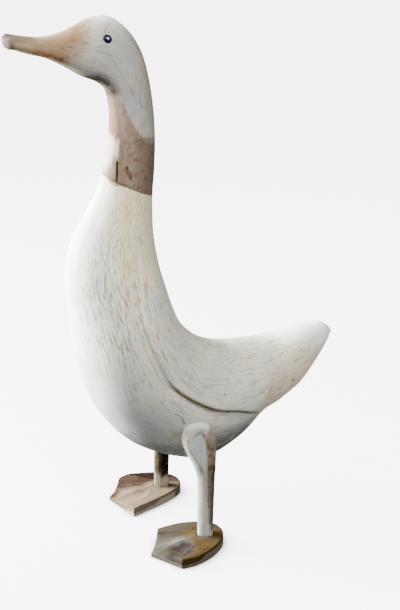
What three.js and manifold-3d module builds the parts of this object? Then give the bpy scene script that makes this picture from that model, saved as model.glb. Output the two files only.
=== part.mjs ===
// A tall duck carved from bamboo root: a body with its wings and tail cut in one,
// a head and upper neck glued on at a slanting joint, two legs, two webbed feet and two bead eyes.
// Millimetres, +Z up. The bird looks along -X, so its left side is -Y.
import * as THREE from "three";
import { mergeVertices } from "three/addons/utils/BufferGeometryUtils.js";
import Module from "manifold-3d";

const wasm = await Module();
wasm.setup();

// What is left open between two pieces that touch.
const GLUE_GAP = 0.3;

// The carved form as slices across the bird, from bill to tail. Each slice runs from a point on the back
// line to a point on the belly line, both as [x, z]. fullness is 1 for an oval slice, less for a squarer one.
// waist and wing are shares of the slice's depth, up from the belly point: waist is where it is widest, and
// wing is where the wing's edge crosses it. step is how proud that edge stands.
const BILL_SLICES = [
  { back: [-171, 503.5], belly: [-167, 488.5], halfWidth: 13, fullness: 0.85 },
  { back: [-156, 501], belly: [-152, 484], halfWidth: 16, fullness: 0.85 },
  { back: [-138, 500], belly: [-134, 479.5], halfWidth: 17, fullness: 0.9 },
  { back: [-121, 503.5], belly: [-117, 471.5], halfWidth: 18 },
];
const HEAD_SLICES = [
  { back: [-106, 510], belly: [-102, 463], halfWidth: 20.5 },
  { back: [-90, 517.5], belly: [-88, 457.5], halfWidth: 23.5 },
  { back: [-72, 518], belly: [-79, 451.5], halfWidth: 25 },
  { back: [-54, 505], belly: [-75, 444.5], halfWidth: 25 },
  { back: [-41.5, 485.5], belly: [-73.5, 436], halfWidth: 24 },
];
const NECK_SLICES = [
  { back: [-34.5, 463], belly: [-72.5, 424], halfWidth: 22.5 },
  { back: [-30, 436], belly: [-73.5, 407], halfWidth: 22 },
  { back: [-28, 406], belly: [-77, 388], halfWidth: 22 },
  { back: [-28.5, 376], belly: [-80, 370], halfWidth: 23 },
  { back: [-31, 349], belly: [-87, 351], halfWidth: 25.5 },
  { back: [-31.5, 322], belly: [-99.5, 328], halfWidth: 31 },
];
const BODY_SLICES = [
  { back: [-30, 298], belly: [-113.5, 301], halfWidth: 40, wing: 0.6, step: 0.6 },
  { back: [-26, 275], belly: [-119.5, 269], halfWidth: 51, wing: 0.59, step: 1.6 },
  { back: [-20.5, 255], belly: [-117, 236.5], halfWidth: 61, wing: 0.565, step: 2.2 },
  { back: [-14.5, 235], belly: [-113, 203.3], halfWidth: 69, wing: 0.553, step: 2.6 },
  { back: [-6, 217], belly: [-106, 170], halfWidth: 74, wing: 0.5635, step: 3 },
  { back: [6.5, 203.5], belly: [-91.5, 131], halfWidth: 76, wing: 0.556, step: 3.5 },
  { back: [22, 193.5], belly: [-62, 96.6], halfWidth: 76, wing: 0.575, step: 4 },
  { back: [41, 188], belly: [-24.3, 77.2], halfWidth: 74, wing: 0.563, step: 4.5 },
  { back: [60, 187], belly: [11, 70.8], halfWidth: 70, waist: 0.52, wing: 0.551, step: 5 },
  { back: [78, 187.5], belly: [40, 84], halfWidth: 64, waist: 0.5, wing: 0.45, step: 5 },
  { back: [95, 189], belly: [62.5, 106], halfWidth: 54, waist: 0.4, wing: 0.3, step: 4, fullness: 0.95 },
];
const TAIL_SLICES = [
  { back: [112, 192], belly: [90, 127], halfWidth: 45.5, waist: 0.25, wing: 0.14, step: 3, fullness: 0.9 },
  { back: [128, 196], belly: [116.5, 142.5], halfWidth: 36, waist: 0.2, wing: 0.08, step: 2, fullness: 0.9 },
  { back: [142, 198.5], belly: [139, 161.2], halfWidth: 25.5, waist: 0.25, wing: 0.1, step: 1, fullness: 0.9 },
  { back: [154, 199.5], belly: [156, 176.5], halfWidth: 15.5, waist: 0.35, wing: 0.2, step: 0 },
  { back: [160.5, 195], belly: [163.5, 186.5], halfWidth: 8, wing: 0.4, step: 0 },
];
const PLAIN_SLICE = { waist: 0.5, wing: 0.5, step: 0, fullness: 1 };
const SLICES = [BILL_SLICES, HEAD_SLICES, NECK_SLICES, BODY_SLICES, TAIL_SLICES].flat().map((slice) => ({
  ...PLAIN_SLICE,
  ...slice,
}));
const BILL_TIP_BULGE = 6;
const TAIL_TIP_BULGE = 2.5;

// The wing's lower edge: half the width of its cut face, and the groove that runs under it.
const WING_FACE_ANGLE = 0.028;
const WING_GROOVE = 0.45;
const WING_GROOVE_ANGLE = 0.3;

// Where the head piece is glued on: the front and back ends of the joint on the side view, as [x, z],
// and how far the cut also leans down to the bird's left.
const JOINT_FRONT = [-81, 367];
const JOINT_BACK = [-30.5, 346];
const JOINT_LEAN = 0.12;

// Eyes: a black bead, half sunk in the cheek.
const EYE_X = -80;
const EYE_HEIGHT = 498;
const EYE_RADIUS = 3.8;
const EYE_THICKNESS = 4.4;
const EYE_DOT_RADIUS = 1.7;
const EYE_DOT_RISE = 0.5;

// Legs: slices from the foot up, with the shin's front and back edges, its thickness and its place sideways.
const LEG_SPACING = 142;
const LEG_SLICES = [
  { height: 3, front: -8.2, back: 7.2, halfThick: 7.4, out: 0 },
  { height: 35, front: -8, back: 8.4, halfThick: 7.8, out: 0 },
  { height: 60, front: -7.8, back: 9.3, halfThick: 8.4, out: 0 },
  { height: 74, front: -9.2, back: 9.7, halfThick: 10, out: 0.5 },
  { height: 87, front: -14.2, back: 10, halfThick: 12.5, out: 1 },
  { height: 99, front: -20.5, back: 10.3, halfThick: 14.5, out: 1.5 },
  { height: 110, front: -24.5, back: 9.8, halfThick: 15.5, out: 1.5 },
  { height: 120, front: -23.8, back: 6, halfThick: 14, out: 0 },
];
const LEG_TOP_BULGE = 9.5;
// The flat cut down the outside of the thigh.
const THIGH_FLAT_OUT = 12;
const THIGH_FLAT_LEAN = 0.05;
const THIGH_FLAT_HEIGHT = 100;

// Feet: planks with three toes, each outline about its own leg's axis, as [x, y].
const FOOT_THICKNESS = 10;
const FOOT_EDGE_ROUND = 1.2;
const LEFT_FOOT = {
  toes: { outer: [-42, -53], middle: [-62, -15], inner: [-41, 29] },
  webs: { outer: [-51, -35], inner: [-49, 8] },
  sole: [[-18, 35], [4, 32], [17, 22], [20, 6], [14.5, -12], [3, -28], [-10, -40], [-27, -50]],
};
const RIGHT_FOOT = {
  toes: { outer: [-48, -55], middle: [-59, 1], inner: [-38, 36] },
  webs: { outer: [-51.5, -28], inner: [-48, 14] },
  sole: [[-25, 45], [-11, 44], [5, 40], [18, 31], [24, 16], [20, -5], [5, -21], [-13, -34], [-28, -43]],
};
// The hollows carved between the toes. start is how far out the deepest place lies, where 1 is midway
// between the two toes' tips.
const WEB_HOLLOW = { length: 58, halfWidth: 19, depth: 3.6, start: 1.05 };

// Mesh fineness.
const RINGS_PER_SLICE = 2;
const CAP_RINGS = 4;
const COLUMNS_ABOVE_WING = 10;
const COLUMNS_BELOW_WING = 8;
const LEG_COLUMNS = 20;
const RINGS_PER_LEG_SLICE = 2;
const EYE_COLUMNS = 16;
const TRIES_PER_SLICE = 40;

const materials = {
  body: new THREE.MeshStandardMaterial({ color: 0xcdcbbe, roughness: 0.8, metalness: 0 }),
  head: new THREE.MeshStandardMaterial({ color: 0xc8bfae, roughness: 0.75, metalness: 0 }),
  leg: new THREE.MeshStandardMaterial({ color: 0xb5a48c, roughness: 0.75, metalness: 0 }),
  foot: new THREE.MeshStandardMaterial({ color: 0xa98f73, roughness: 0.75, metalness: 0 }),
  eye: new THREE.MeshStandardMaterial({ color: 0x14141f, roughness: 0.2, metalness: 0 }),
};

// The value at t along a row of numbers, on a smooth curve through them all.
function smoothAlong(values, t) {
  const last = values.length - 1;
  const i = Math.min(Math.floor(t), last - 1);
  const f = t - i;
  const [a, b, c, d] = [i - 1, i, i + 1, i + 2].map((k) => values[THREE.MathUtils.clamp(k, 0, last)]);
  return b + 0.5 * f * (c - a + f * (2 * a - 5 * b + 4 * c - d + f * (3 * (b - c) + d - a)));
}

// cos or sin of an oval's angle, pushed outwards for a squarer slice.
function squared(value, fullness) {
  return Math.sign(value) * Math.abs(value) ** fullness;
}

// A closed skin over rows of points that start and end at a pole.
function loft(rows, columns, pointAt) {
  const geometry = new THREE.SphereGeometry(1, columns, rows);
  const position = geometry.getAttribute("position");
  for (let row = 0; row <= rows; row++) {
    for (let column = 0; column <= columns; column++) {
      position.setXYZ(row * (columns + 1) + column, ...pointAt(row, column % columns));
    }
  }
  geometry.deleteAttribute("normal");
  geometry.deleteAttribute("uv");
  return geometry;
}

// A geometry as a solid that can be joined and cut.
function solidOf(geometry) {
  const bare = geometry.clone();
  bare.deleteAttribute("normal");
  bare.deleteAttribute("uv");
  const merged = mergeVertices(bare, 1e-4);
  return new wasm.Manifold(
    new wasm.Mesh({
      numProp: 3,
      vertProperties: merged.getAttribute("position").array,
      triVerts: new Uint32Array(merged.index.array),
    }),
  );
}

// A solid as a named mesh.
function meshOf(name, solid, material) {
  const { vertProperties, triVerts } = solid.getMesh();
  const geometry = new THREE.BufferGeometry();
  geometry.setAttribute("position", new THREE.BufferAttribute(vertProperties, 3));
  geometry.setIndex(new THREE.BufferAttribute(triVerts, 1));
  geometry.computeVertexNormals();
  const mesh = new THREE.Mesh(geometry, material);
  mesh.name = name;
  return mesh;
}

// The slice of the bird at t, counted in slices from the bill.
function sliceAt(t) {
  const read = (pick) => smoothAlong(SLICES.map(pick), t);
  const back = new THREE.Vector2(read((s) => s.back[0]), read((s) => s.back[1]));
  const belly = new THREE.Vector2(read((s) => s.belly[0]), read((s) => s.belly[1]));
  const waist = read((s) => s.waist);
  const depth = back.distanceTo(belly);
  return {
    middle: belly.clone().lerp(back, waist),
    up: back.clone().sub(belly).normalize(),
    riseAbove: (1 - waist) * depth,
    dropBelow: waist * depth,
    halfWidth: read((s) => s.halfWidth),
    waist,
    fullness: read((s) => s.fullness),
    wing: read((s) => s.wing),
    step: Math.max(0, read((s) => s.step)),
  };
}

// The slice's reach from its waist, upwards or downwards.
function reach(slice, upwards) {
  return upwards > 0 ? slice.riseAbove : slice.dropBelow;
}

// The angle from the back line at which the wing's edge crosses a slice.
function wingAngle(slice) {
  const height = slice.wing - slice.waist;
  const share = height / (height > 0 ? 1 - slice.waist : slice.waist);
  return Math.acos(squared(share, 1 / slice.fullness));
}

// The angles round one side of a slice, with the wing's cut face between two of them.
function sideAngles(slice) {
  const edge = wingAngle(slice);
  const above = Array.from({ length: COLUMNS_ABOVE_WING + 1 }, (_, i) => {
    return ((edge - WING_FACE_ANGLE) * i) / COLUMNS_ABOVE_WING;
  });
  const below = Array.from({ length: COLUMNS_BELOW_WING + 1 }, (_, i) => {
    const start = edge + WING_FACE_ANGLE;
    return start + ((Math.PI - start) * i) / COLUMNS_BELOW_WING;
  });
  return [...above, ...below];
}

// How far the surface stands out from the plain oval at an angle: the wing swells to its edge, with a groove
// below it.
function wingLift(slice, angle) {
  const edge = wingAngle(slice);
  if (angle < edge) return slice.step * THREE.MathUtils.smoothstep(angle / edge, 0.25, 1);
  const past = Math.min(1, (angle - edge) / WING_GROOVE_ANGLE);
  return -WING_GROOVE * slice.step * (1 - past) ** 2;
}

// A point of the skin, with round the angle from the back line, positive on the bird's right.
function skinPoint(slice, round, scale, bulge, grow) {
  const across = Math.sin(round);
  const along = Math.cos(round);
  const height = reach(slice, along);
  const normal = new THREE.Vector2(along / height, across / slice.halfWidth).normalize();
  const lift = wingLift(slice, Math.abs(round)) + grow;
  const rise = scale * (height * squared(along, slice.fullness) + lift * normal.x);
  const side = scale * (slice.halfWidth * squared(across, slice.fullness) + lift * normal.y);
  const x = slice.middle.x + slice.up.x * rise + slice.up.y * bulge;
  const z = slice.middle.y + slice.up.y * rise - slice.up.x * bulge;
  return [x, side, z];
}

// The whole bird without legs, grown outwards all over by a clearance.
function birdSkin(grow = 0) {
  const spans = (SLICES.length - 1) * RINGS_PER_SLICE;
  const rows = spans + 2 * CAP_RINGS;
  const rings = Array.from({ length: rows + 1 }, (_, row) => {
    const step = THREE.MathUtils.clamp(row - CAP_RINGS, 0, spans);
    const slice = sliceAt(step / RINGS_PER_SLICE);
    const capTurn = ((row - CAP_RINGS - step) / CAP_RINGS) * (Math.PI / 2);
    const bulge = Math.sin(capTurn) * ((capTurn < 0 ? BILL_TIP_BULGE : TAIL_TIP_BULGE) + grow);
    const half = sideAngles(slice);
    const round = [...half, ...half.slice(1, -1).reverse().map((angle) => -angle)];
    return round.map((angle) => skinPoint(slice, angle, Math.cos(capTurn), bulge, grow));
  });
  return solidOf(loft(rows, rings[0].length, (row, column) => rings[row][column]));
}

// A block that holds everything above the slanting glue joint, raised by a clearance.
function aboveJoint(raised) {
  const size = 400;
  const rise = JOINT_FRONT[1] - JOINT_BACK[1];
  const tilt = Math.atan2(rise, JOINT_BACK[0] - JOINT_FRONT[0]);
  const block = new THREE.BoxGeometry(size, size, size);
  block.translate(0, 0, size / 2 + raised);
  block.rotateX(JOINT_LEAN);
  block.rotateY(tilt);
  block.translate((JOINT_FRONT[0] + JOINT_BACK[0]) / 2, 0, (JOINT_FRONT[1] + JOINT_BACK[1]) / 2);
  return solidOf(block);
}

// The t of the head's slice that passes nearest to a point of the side view.
function headSliceThrough(x, z) {
  const point = new THREE.Vector2(x, z);
  const distance = (t) => {
    const slice = sliceAt(t);
    return Math.abs(point.clone().sub(slice.middle).cross(slice.up));
  };
  const tries = Array.from({ length: HEAD_SLICES.length * TRIES_PER_SLICE }, (_, i) => {
    return BILL_SLICES.length + i / TRIES_PER_SLICE;
  });
  return tries.reduce((best, t) => (distance(t) < distance(best) ? t : best));
}

// The cheek's surface at the eye, and the way it faces, on one side of the head.
function eyeSeat(side) {
  const slice = sliceAt(headSliceThrough(EYE_X, EYE_HEIGHT));
  const rise = new THREE.Vector2(EYE_X, EYE_HEIGHT).sub(slice.middle).dot(slice.up);
  const round = Math.acos(rise / slice.riseAbove);
  const [x, y, z] = skinPoint(slice, side * round, 1, 0, 0);
  const along = Math.cos(round) / slice.riseAbove;
  const facing = new THREE.Vector3(
    slice.up.x * along,
    (side * Math.sin(round)) / slice.halfWidth,
    slice.up.y * along,
  );
  return { at: new THREE.Vector3(x, y, z), facing: facing.normalize() };
}

// A flattened bead about +Z with a small raised dot at its middle, grown by a clearance.
function beadGeometry(grow = 0) {
  const outline = new THREE.Path();
  const half = EYE_THICKNESS / 2 + grow;
  const radius = EYE_RADIUS + grow;
  outline.moveTo(0, -half);
  outline.quadraticCurveTo(radius, -half, radius, 0);
  outline.quadraticCurveTo(radius, half * 0.8, EYE_DOT_RADIUS, half);
  outline.lineTo(EYE_DOT_RADIUS * 0.8, half + EYE_DOT_RISE * 0.7);
  outline.lineTo(0, half + EYE_DOT_RISE);
  return new THREE.LatheGeometry(outline.getPoints(5), EYE_COLUMNS).rotateX(Math.PI / 2);
}

// A bead laid into its seat, facing out of the cheek.
function beadIn(seat, grow) {
  const turn = new THREE.Quaternion().setFromUnitVectors(new THREE.Vector3(0, 0, 1), seat.facing);
  const place = new THREE.Matrix4().compose(seat.at, turn, new THREE.Vector3(1, 1, 1));
  return solidOf(beadGeometry(grow).applyMatrix4(place));
}

// A leg about its own axis, with outwards to -Y, grown by a clearance.
function legGeometry(grow = 0) {
  const spans = RINGS_PER_LEG_SLICE * (LEG_SLICES.length - 1);
  const rows = 1 + spans + CAP_RINGS;
  return loft(rows, LEG_COLUMNS, (row, column) => {
    const t = THREE.MathUtils.clamp(row - 1, 0, spans) / RINGS_PER_LEG_SLICE;
    const read = (pick) => smoothAlong(LEG_SLICES.map(pick), t);
    const capTurn = (Math.max(0, row - 1 - spans) / CAP_RINGS) * (Math.PI / 2);
    const scale = row === 0 ? 0 : Math.cos(capTurn);
    const turn = (column / LEG_COLUMNS) * 2 * Math.PI;
    const front = read((s) => s.front) - grow;
    const back = read((s) => s.back) + grow;
    const bottomDrop = row < 2 ? grow : 0;
    return [
      (front + back) / 2 + (scale * Math.cos(turn) * (back - front)) / 2,
      -read((s) => s.out) - scale * Math.sin(turn) * (read((s) => s.halfThick) + grow),
      read((s) => s.height) + Math.sin(capTurn) * LEG_TOP_BULGE - bottomDrop,
    ];
  });
}

// The block whose inner face is the flat down the outside of the thigh.
function thighFlat() {
  const size = 120;
  return new THREE.BoxGeometry(size, size, size)
    .translate(0, -size / 2 - THIGH_FLAT_OUT, 0)
    .rotateX(THIGH_FLAT_LEAN)
    .translate(0, 0, THIGH_FLAT_HEIGHT);
}

// Moves a left leg's shape out to its place, or mirrors it to the right. side is -1 for left and 1 for right.
function toSide(geometry, side) {
  const moved = geometry.translate(0, -LEG_SPACING / 2, 0);
  if (side < 0) return moved;
  const mirrored = moved.scale(1, -1, 1);
  const index = mirrored.index.array;
  for (let i = 0; i < index.length; i += 3) [index[i + 1], index[i + 2]] = [index[i + 2], index[i + 1]];
  return mirrored;
}

// A foot's outline: straight webs between sharp toes, and one smooth edge round the heel.
function footShape({ toes, webs, sole }) {
  const point = ([x, y]) => new THREE.Vector2(x, y);
  const shape = new THREE.Shape();
  shape.moveTo(...toes.inner);
  shape.splineThru([...sole, toes.outer].map(point));
  shape.quadraticCurveTo(...webs.outer, ...toes.middle);
  shape.quadraticCurveTo(...webs.inner, ...toes.inner);
  return shape;
}

// The hollow between two toes: a long shallow oval that fades out towards the leg.
function webHollow(toeA, toeB) {
  const mouth = new THREE.Vector2((toeA[0] + toeB[0]) / 2, (toeA[1] + toeB[1]) / 2);
  const lift = WEB_HOLLOW.depth * 2;
  return new THREE.SphereGeometry(1, 24, 16)
    .scale(WEB_HOLLOW.length, WEB_HOLLOW.halfWidth, WEB_HOLLOW.depth + lift)
    .rotateZ(mouth.angle())
    .translate(mouth.x * WEB_HOLLOW.start, mouth.y * WEB_HOLLOW.start, FOOT_THICKNESS + lift);
}

// A foot with its hollows and the socket for its leg.
function footSolid(foot, side) {
  const plank = new THREE.ExtrudeGeometry(footShape(foot), {
    depth: FOOT_THICKNESS - 2 * FOOT_EDGE_ROUND,
    bevelThickness: FOOT_EDGE_ROUND,
    bevelSize: FOOT_EDGE_ROUND,
    bevelOffset: -FOOT_EDGE_ROUND,
    bevelSegments: 2,
    curveSegments: 4,
  }).translate(0, 0, FOOT_EDGE_ROUND);
  const { outer, middle, inner } = foot.toes;
  const carved = [webHollow(outer, middle), webHollow(middle, inner)];
  const yOfLeg = (side * LEG_SPACING) / 2;
  const blank = solidOf(plank.translate(0, yOfLeg, 0));
  return carved
    .reduce((solid, hollow) => solid.subtract(solidOf(hollow.translate(0, yOfLeg, 0))), blank)
    .subtract(solidOf(toSide(legGeometry(GLUE_GAP), side)));
}

const whole = birdSkin();
const around = birdSkin(GLUE_GAP);
const seats = { left: eyeSeat(-1), right: eyeSeat(1) };

// The head piece above the joint, with a seat cut for each eye.
function headSolid() {
  const blank = whole.intersect(aboveJoint(GLUE_GAP / 2));
  return Object.values(seats).reduce((head, seat) => head.subtract(beadIn(seat, GLUE_GAP)), blank);
}

// A leg with its flat, its inner face fitted to the body.
function legSolid(side) {
  return solidOf(toSide(legGeometry(), side))
    .subtract(solidOf(toSide(thighFlat(), side)))
    .subtract(around);
}

const duck = new THREE.Group();
duck.add(meshOf("body", whole.subtract(aboveJoint(-GLUE_GAP / 2)), materials.body));
duck.add(meshOf("head", headSolid(), materials.head));
duck.add(meshOf("left_leg", legSolid(-1), materials.leg));
duck.add(meshOf("right_leg", legSolid(1), materials.leg));
duck.add(meshOf("left_foot", footSolid(LEFT_FOOT, -1), materials.foot));
duck.add(meshOf("right_foot", footSolid(RIGHT_FOOT, 1), materials.foot));
duck.add(meshOf("left_eye", beadIn(seats.left), materials.eye));
duck.add(meshOf("right_eye", beadIn(seats.right), materials.eye));

// The origin goes to the middle of the ground that the duck covers.
const covered = new THREE.Box3().setFromObject(duck);
const centre = covered.getCenter(new THREE.Vector3());
duck.position.set(-centre.x, -centre.y, -covered.min.z);

export default duck;
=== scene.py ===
"""A tall duck carved from bamboo root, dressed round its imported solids.

The duck is a body with its wings and tail cut in one, a head glued on at a slanting joint low in the neck,
two stick legs, two webbed plank feet and two bead eyes. Sizes in the classes are millimetres on the carver's
bench, where x runs from the bill to the tail, y to the bird's right and z up from the floor, and x and y are
nought midway between the legs. The meshes are in metres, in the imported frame.
"""

import logging
import math
from dataclasses import dataclass, field
from enum import Enum
from typing import Callable, Optional, Sequence, Union

import bmesh
import bpy
import numpy as np
from mathutils import Euler, Matrix, Vector, noise
from mathutils.bvhtree import BVHTree


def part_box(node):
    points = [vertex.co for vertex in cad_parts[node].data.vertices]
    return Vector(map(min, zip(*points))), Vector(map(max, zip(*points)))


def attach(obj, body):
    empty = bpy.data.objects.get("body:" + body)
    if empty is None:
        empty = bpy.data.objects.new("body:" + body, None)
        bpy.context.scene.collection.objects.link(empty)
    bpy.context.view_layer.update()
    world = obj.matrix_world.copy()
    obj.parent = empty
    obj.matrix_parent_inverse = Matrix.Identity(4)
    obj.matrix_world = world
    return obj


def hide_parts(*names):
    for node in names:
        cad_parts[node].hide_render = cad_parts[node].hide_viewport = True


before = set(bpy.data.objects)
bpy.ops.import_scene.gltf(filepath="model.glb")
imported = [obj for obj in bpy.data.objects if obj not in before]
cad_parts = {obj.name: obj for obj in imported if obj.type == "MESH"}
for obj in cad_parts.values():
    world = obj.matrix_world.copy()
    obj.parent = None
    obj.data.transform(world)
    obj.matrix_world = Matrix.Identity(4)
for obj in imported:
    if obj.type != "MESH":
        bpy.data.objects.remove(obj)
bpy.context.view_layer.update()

LOG = logging.getLogger("duck")

Point = tuple[float, float]
Colour = tuple[float, float, float]
Mesh = bmesh.types.BMesh
Piece = bpy.types.Object
Socket = bpy.types.NodeSocket
Outputs = bpy.types.NodeOutputs
Value = Union[Socket, float, tuple]
PlaceVertex = Callable[[int, int], tuple[Vector, Vector]]
Distances = Callable[[np.ndarray], np.ndarray]

FLOAT = "NodeSocketFloat"
VECTOR = "NodeSocketVector"
COLOUR = "NodeSocketColor"

MM = 0.001
GLUE_GAP = 0.3
WOOD = "wood"
# How far apart the axes of the two legs are.
LEG_SPACING = 142.0
# Where the left foot's middle and outer toes end on the bench.
LEFT_TOE_TIP_X = -62.0
LEFT_OUTER_TOE_Y = -LEG_SPACING / 2 - 53.0


class Side(Enum):
    """A side of the bird, as the sign of y, or both sides."""

    LEFT = -1
    RIGHT = 1
    BOTH = 0


class View(Enum):
    """The two axes that a mark or a cut is drawn on."""

    FROM_SIDE = (0, 2)
    FROM_ABOVE = (0, 1)


def bench_origin() -> Vector:
    """Where the bench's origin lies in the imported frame, in metres."""
    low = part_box("left_foot")[0]
    return Vector((low.x - LEFT_TOE_TIP_X * MM, low.y - LEFT_OUTER_TOE_Y * MM, 0.0))


BENCH_ORIGIN = bench_origin()


def to_frame(point: Vector) -> Vector:
    """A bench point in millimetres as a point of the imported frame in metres."""
    return point * MM + BENCH_ORIGIN


def to_bench(point: Vector) -> Vector:
    """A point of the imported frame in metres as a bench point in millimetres."""
    return (point - BENCH_ORIGIN) / MM


def srgb(red: int, green: int, blue: int) -> Colour:
    """A colour given as it looks on a screen, from 0 to 255, as linear light."""
    def linear(level: float) -> float:
        """One channel as linear light."""
        return level / 12.92 if level <= 0.04045 else ((level + 0.055) / 1.055) ** 2.4

    return tuple(linear(channel / 255) for channel in (red, green, blue))


def smooth_step(value: float, low: float, high: float) -> float:
    """0 below low and 1 above high, with a smooth rise between."""
    share = min(1.0, max(0.0, (value - low) / (high - low)))
    return share * share * (3 - 2 * share)


def smooth_along(values: Sequence[float], t: float) -> float:
    """The value at a place along a row of numbers, on a smooth curve through them all.

    Args:
        values: the numbers.
        t: the place, counted in numbers from the first.

    Returns:
        The value there.
    """
    last = len(values) - 1
    i = min(int(t), last - 1)
    f = t - i
    a, b, c, d = (values[min(max(k, 0), last)] for k in (i - 1, i, i + 1, i + 2))
    return b + 0.5 * f * (c - a + f * (2 * a - 5 * b + 4 * c - d + f * (3 * (b - c) + d - a)))


def squared(value: float, fullness: float) -> float:
    """A sine or cosine, pushed outwards for a squarer slice."""
    return math.copysign(abs(value) ** fullness, value)


def lofted(rows: int, columns: int, place: PlaceVertex) -> Mesh:
    """A closed skin made from a ball, each of whose vertices is moved to its place on the piece.

    Args:
        rows: how many bands of faces there are from pole to pole.
        columns: how many faces there are in a band.
        place: gives the bench point and the wood point of a row and column.

    Returns:
        The mesh, in bench millimetres, with the wood points in its vertex layer.
    """
    bm = bmesh.new()
    wood = bm.verts.layers.float_vector.new(WOOD)
    bmesh.ops.create_uvsphere(bm, u_segments=columns, v_segments=rows, radius=1.0)
    for vert in bm.verts:
        row = round(math.acos(max(-1.0, min(1.0, vert.co.z))) / math.pi * rows)
        column = round(math.atan2(vert.co.y, vert.co.x) / math.tau * columns) % columns
        vert.co, vert[wood] = place(row, column)
    bmesh.ops.recalc_face_normals(bm, faces=bm.faces)
    bm.normal_update()
    return bm


def path_distance(points: np.ndarray, path: Sequence[Point], closed: bool) -> np.ndarray:
    """How far points lie from a line, or from a patch's border, where inside is below nought.

    Args:
        points: the points, one row each.
        path: the line or border.
        closed: whether the path is the border of a patch.

    Returns:
        A distance for each point.
    """
    corners = np.array(path, float)
    if len(corners) == 1:
        return np.linalg.norm(points - corners[0], axis=1)
    ends = np.roll(corners, -1, axis=0) if closed else corners[1:]
    starts = corners if closed else corners[:-1]
    nearest = np.full(len(points), np.inf)
    inside = np.zeros(len(points), bool)
    for start, end in zip(starts, ends):
        run = end - start
        share = np.clip((points - start) @ run / (run @ run), 0, 1)
        nearest = np.minimum(nearest, np.linalg.norm(points - start - share[:, None] * run, axis=1))
        if run[1]:
            crosses = (start[1] > points[:, 1]) != (end[1] > points[:, 1])
            reached = start[0] + (points[:, 1] - start[1]) * run[0] / run[1]
            inside ^= crosses & (points[:, 0] < reached)
    return np.where(inside, -nearest, nearest) if closed else nearest


class Spread(Enum):
    """How a mark's colour lies in the wood."""

    EVEN = "even"
    STREAKS = "streaks"
    SPOTS = "spots"


@dataclass(frozen=True)
class Mark:
    """A patch or a line of colour in the wood; some marks are painted light and shade.

    Attributes:
        name: what the mark is, and the name of its mesh attribute.
        colour: its colour.
        strength: how much of the wood's own colour it hides.
        path: its line, its border or its middle point, on its view.
        half_width: half a line's width or a spot's radius, or 0 for a patch.
        softness: the millimetres over which it fades.
        wobble: the millimetres by which the grain shifts its edge.
        side: the side of the bird that has it.
        view: the axes it is drawn on.
        spread: how the colour lies in the wood.
        spot_size: how wide its spots are, where it has them.
    """

    name: str
    colour: Colour
    strength: float
    path: tuple[Point, ...]
    half_width: float = 0.0
    softness: float = 2.0
    wobble: float = 1.0
    side: Side = Side.BOTH
    view: View = View.FROM_SIDE
    spread: Spread = Spread.EVEN
    spot_size: float = 4.0

    def distances(self, points: np.ndarray) -> np.ndarray:
        """How far bench points lie outside the mark.

        Args:
            points: the points, one row each.

        Returns:
            A distance in millimetres for each point.
        """
        flat = points[:, list(self.view.value)]
        away = path_distance(flat, self.path, closed=self.half_width == 0) - self.half_width
        if self.side is Side.BOTH:
            return away
        return away + np.maximum(0.0, -self.side.value * points[:, 1])


@dataclass(frozen=True)
class Cut:
    """A crack, a pit or a hole in the wood's surface.

    Attributes:
        path: its line or its middle point, on the side view.
        half_width: half its width, or its radius.
        depth: how deep it goes.
        side: the side of the bird that has it.
    """

    path: tuple[Point, ...]
    half_width: float
    depth: float
    side: Side = Side.LEFT

    def distances(self, points: np.ndarray) -> np.ndarray:
        """How far bench points lie from the cut's line, in millimetres."""
        away = path_distance(points[:, [0, 2]], self.path, closed=False)
        return np.where(points[:, 1] * self.side.value > 0, away, np.inf)


def positions(verts: Sequence[bmesh.types.BMVert]) -> np.ndarray:
    """The places of vertices, one row each."""
    axes = (axis for vert in verts for axis in vert.co)
    return np.fromiter(axes, float, 3 * len(verts)).reshape(-1, 3)


def refine(bm: Mesh, distances: Distances, reach: float, edge: float) -> list[bmesh.types.BMVert]:
    """Splits the edges near a place until they are short.

    Args:
        bm: the mesh.
        distances: how far points lie from the place.
        reach: the distance within which edges are split.
        edge: the longest edge that is left there.

    Returns:
        The vertices near the place.
    """
    longest = max(e.calc_length() for e in bm.edges)
    while True:
        verts = bm.verts[:]
        away = distances(positions(verts))
        near = [verts[i] for i in np.flatnonzero(away < reach + longest)]
        edges = list({e for vert in near for e in vert.link_edges})
        middles = (positions([e.verts[0] for e in edges]) + positions([e.verts[1] for e in edges])) / 2
        close = [edges[i] for i in np.flatnonzero(distances(middles) < reach)]
        long = [e for e in close if e.calc_length() > edge]
        if not long:
            bm.normal_update()
            return near
        bmesh.ops.subdivide_edges(bm, edges=long, cuts=1, use_grid_fill=True)


def carve(bm: Mesh, cuts: Sequence[Cut]) -> None:
    """Sinks cracks and pits into a mesh, which is split finely round them first.

    Args:
        bm: the mesh.
        cuts: the cracks and pits.
    """
    margin = 1.2
    wall_share = 0.7
    for cut in cuts:
        verts = refine(bm, cut.distances, cut.half_width + margin, cut.half_width / 2)
        for vert, away in zip(verts, cut.distances(positions(verts))):
            if away < cut.half_width:
                vert.co -= vert.normal * cut.depth * smooth_step(1 - away / cut.half_width, 0, wall_share)
    bm.normal_update()


def roughen(bm: Mesh, depth: float, size: float, seed: float) -> None:
    """Gives a mesh the soft unevenness of handwork.

    Args:
        bm: the mesh.
        depth: how far the surface strays in or out.
        size: how far apart the swellings are.
        seed: a number of the piece's own.
    """
    small_depth = 0.4
    small_size = 0.35
    for vert in bm.verts:
        stray = noise.noise(vert.co / size + Vector((seed, 0, 0)))
        stray += small_depth * noise.noise(vert.co / (size * small_size) + Vector((0, seed, 0)))
        vert.co += vert.normal * depth * stray
    bm.normal_update()


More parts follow.
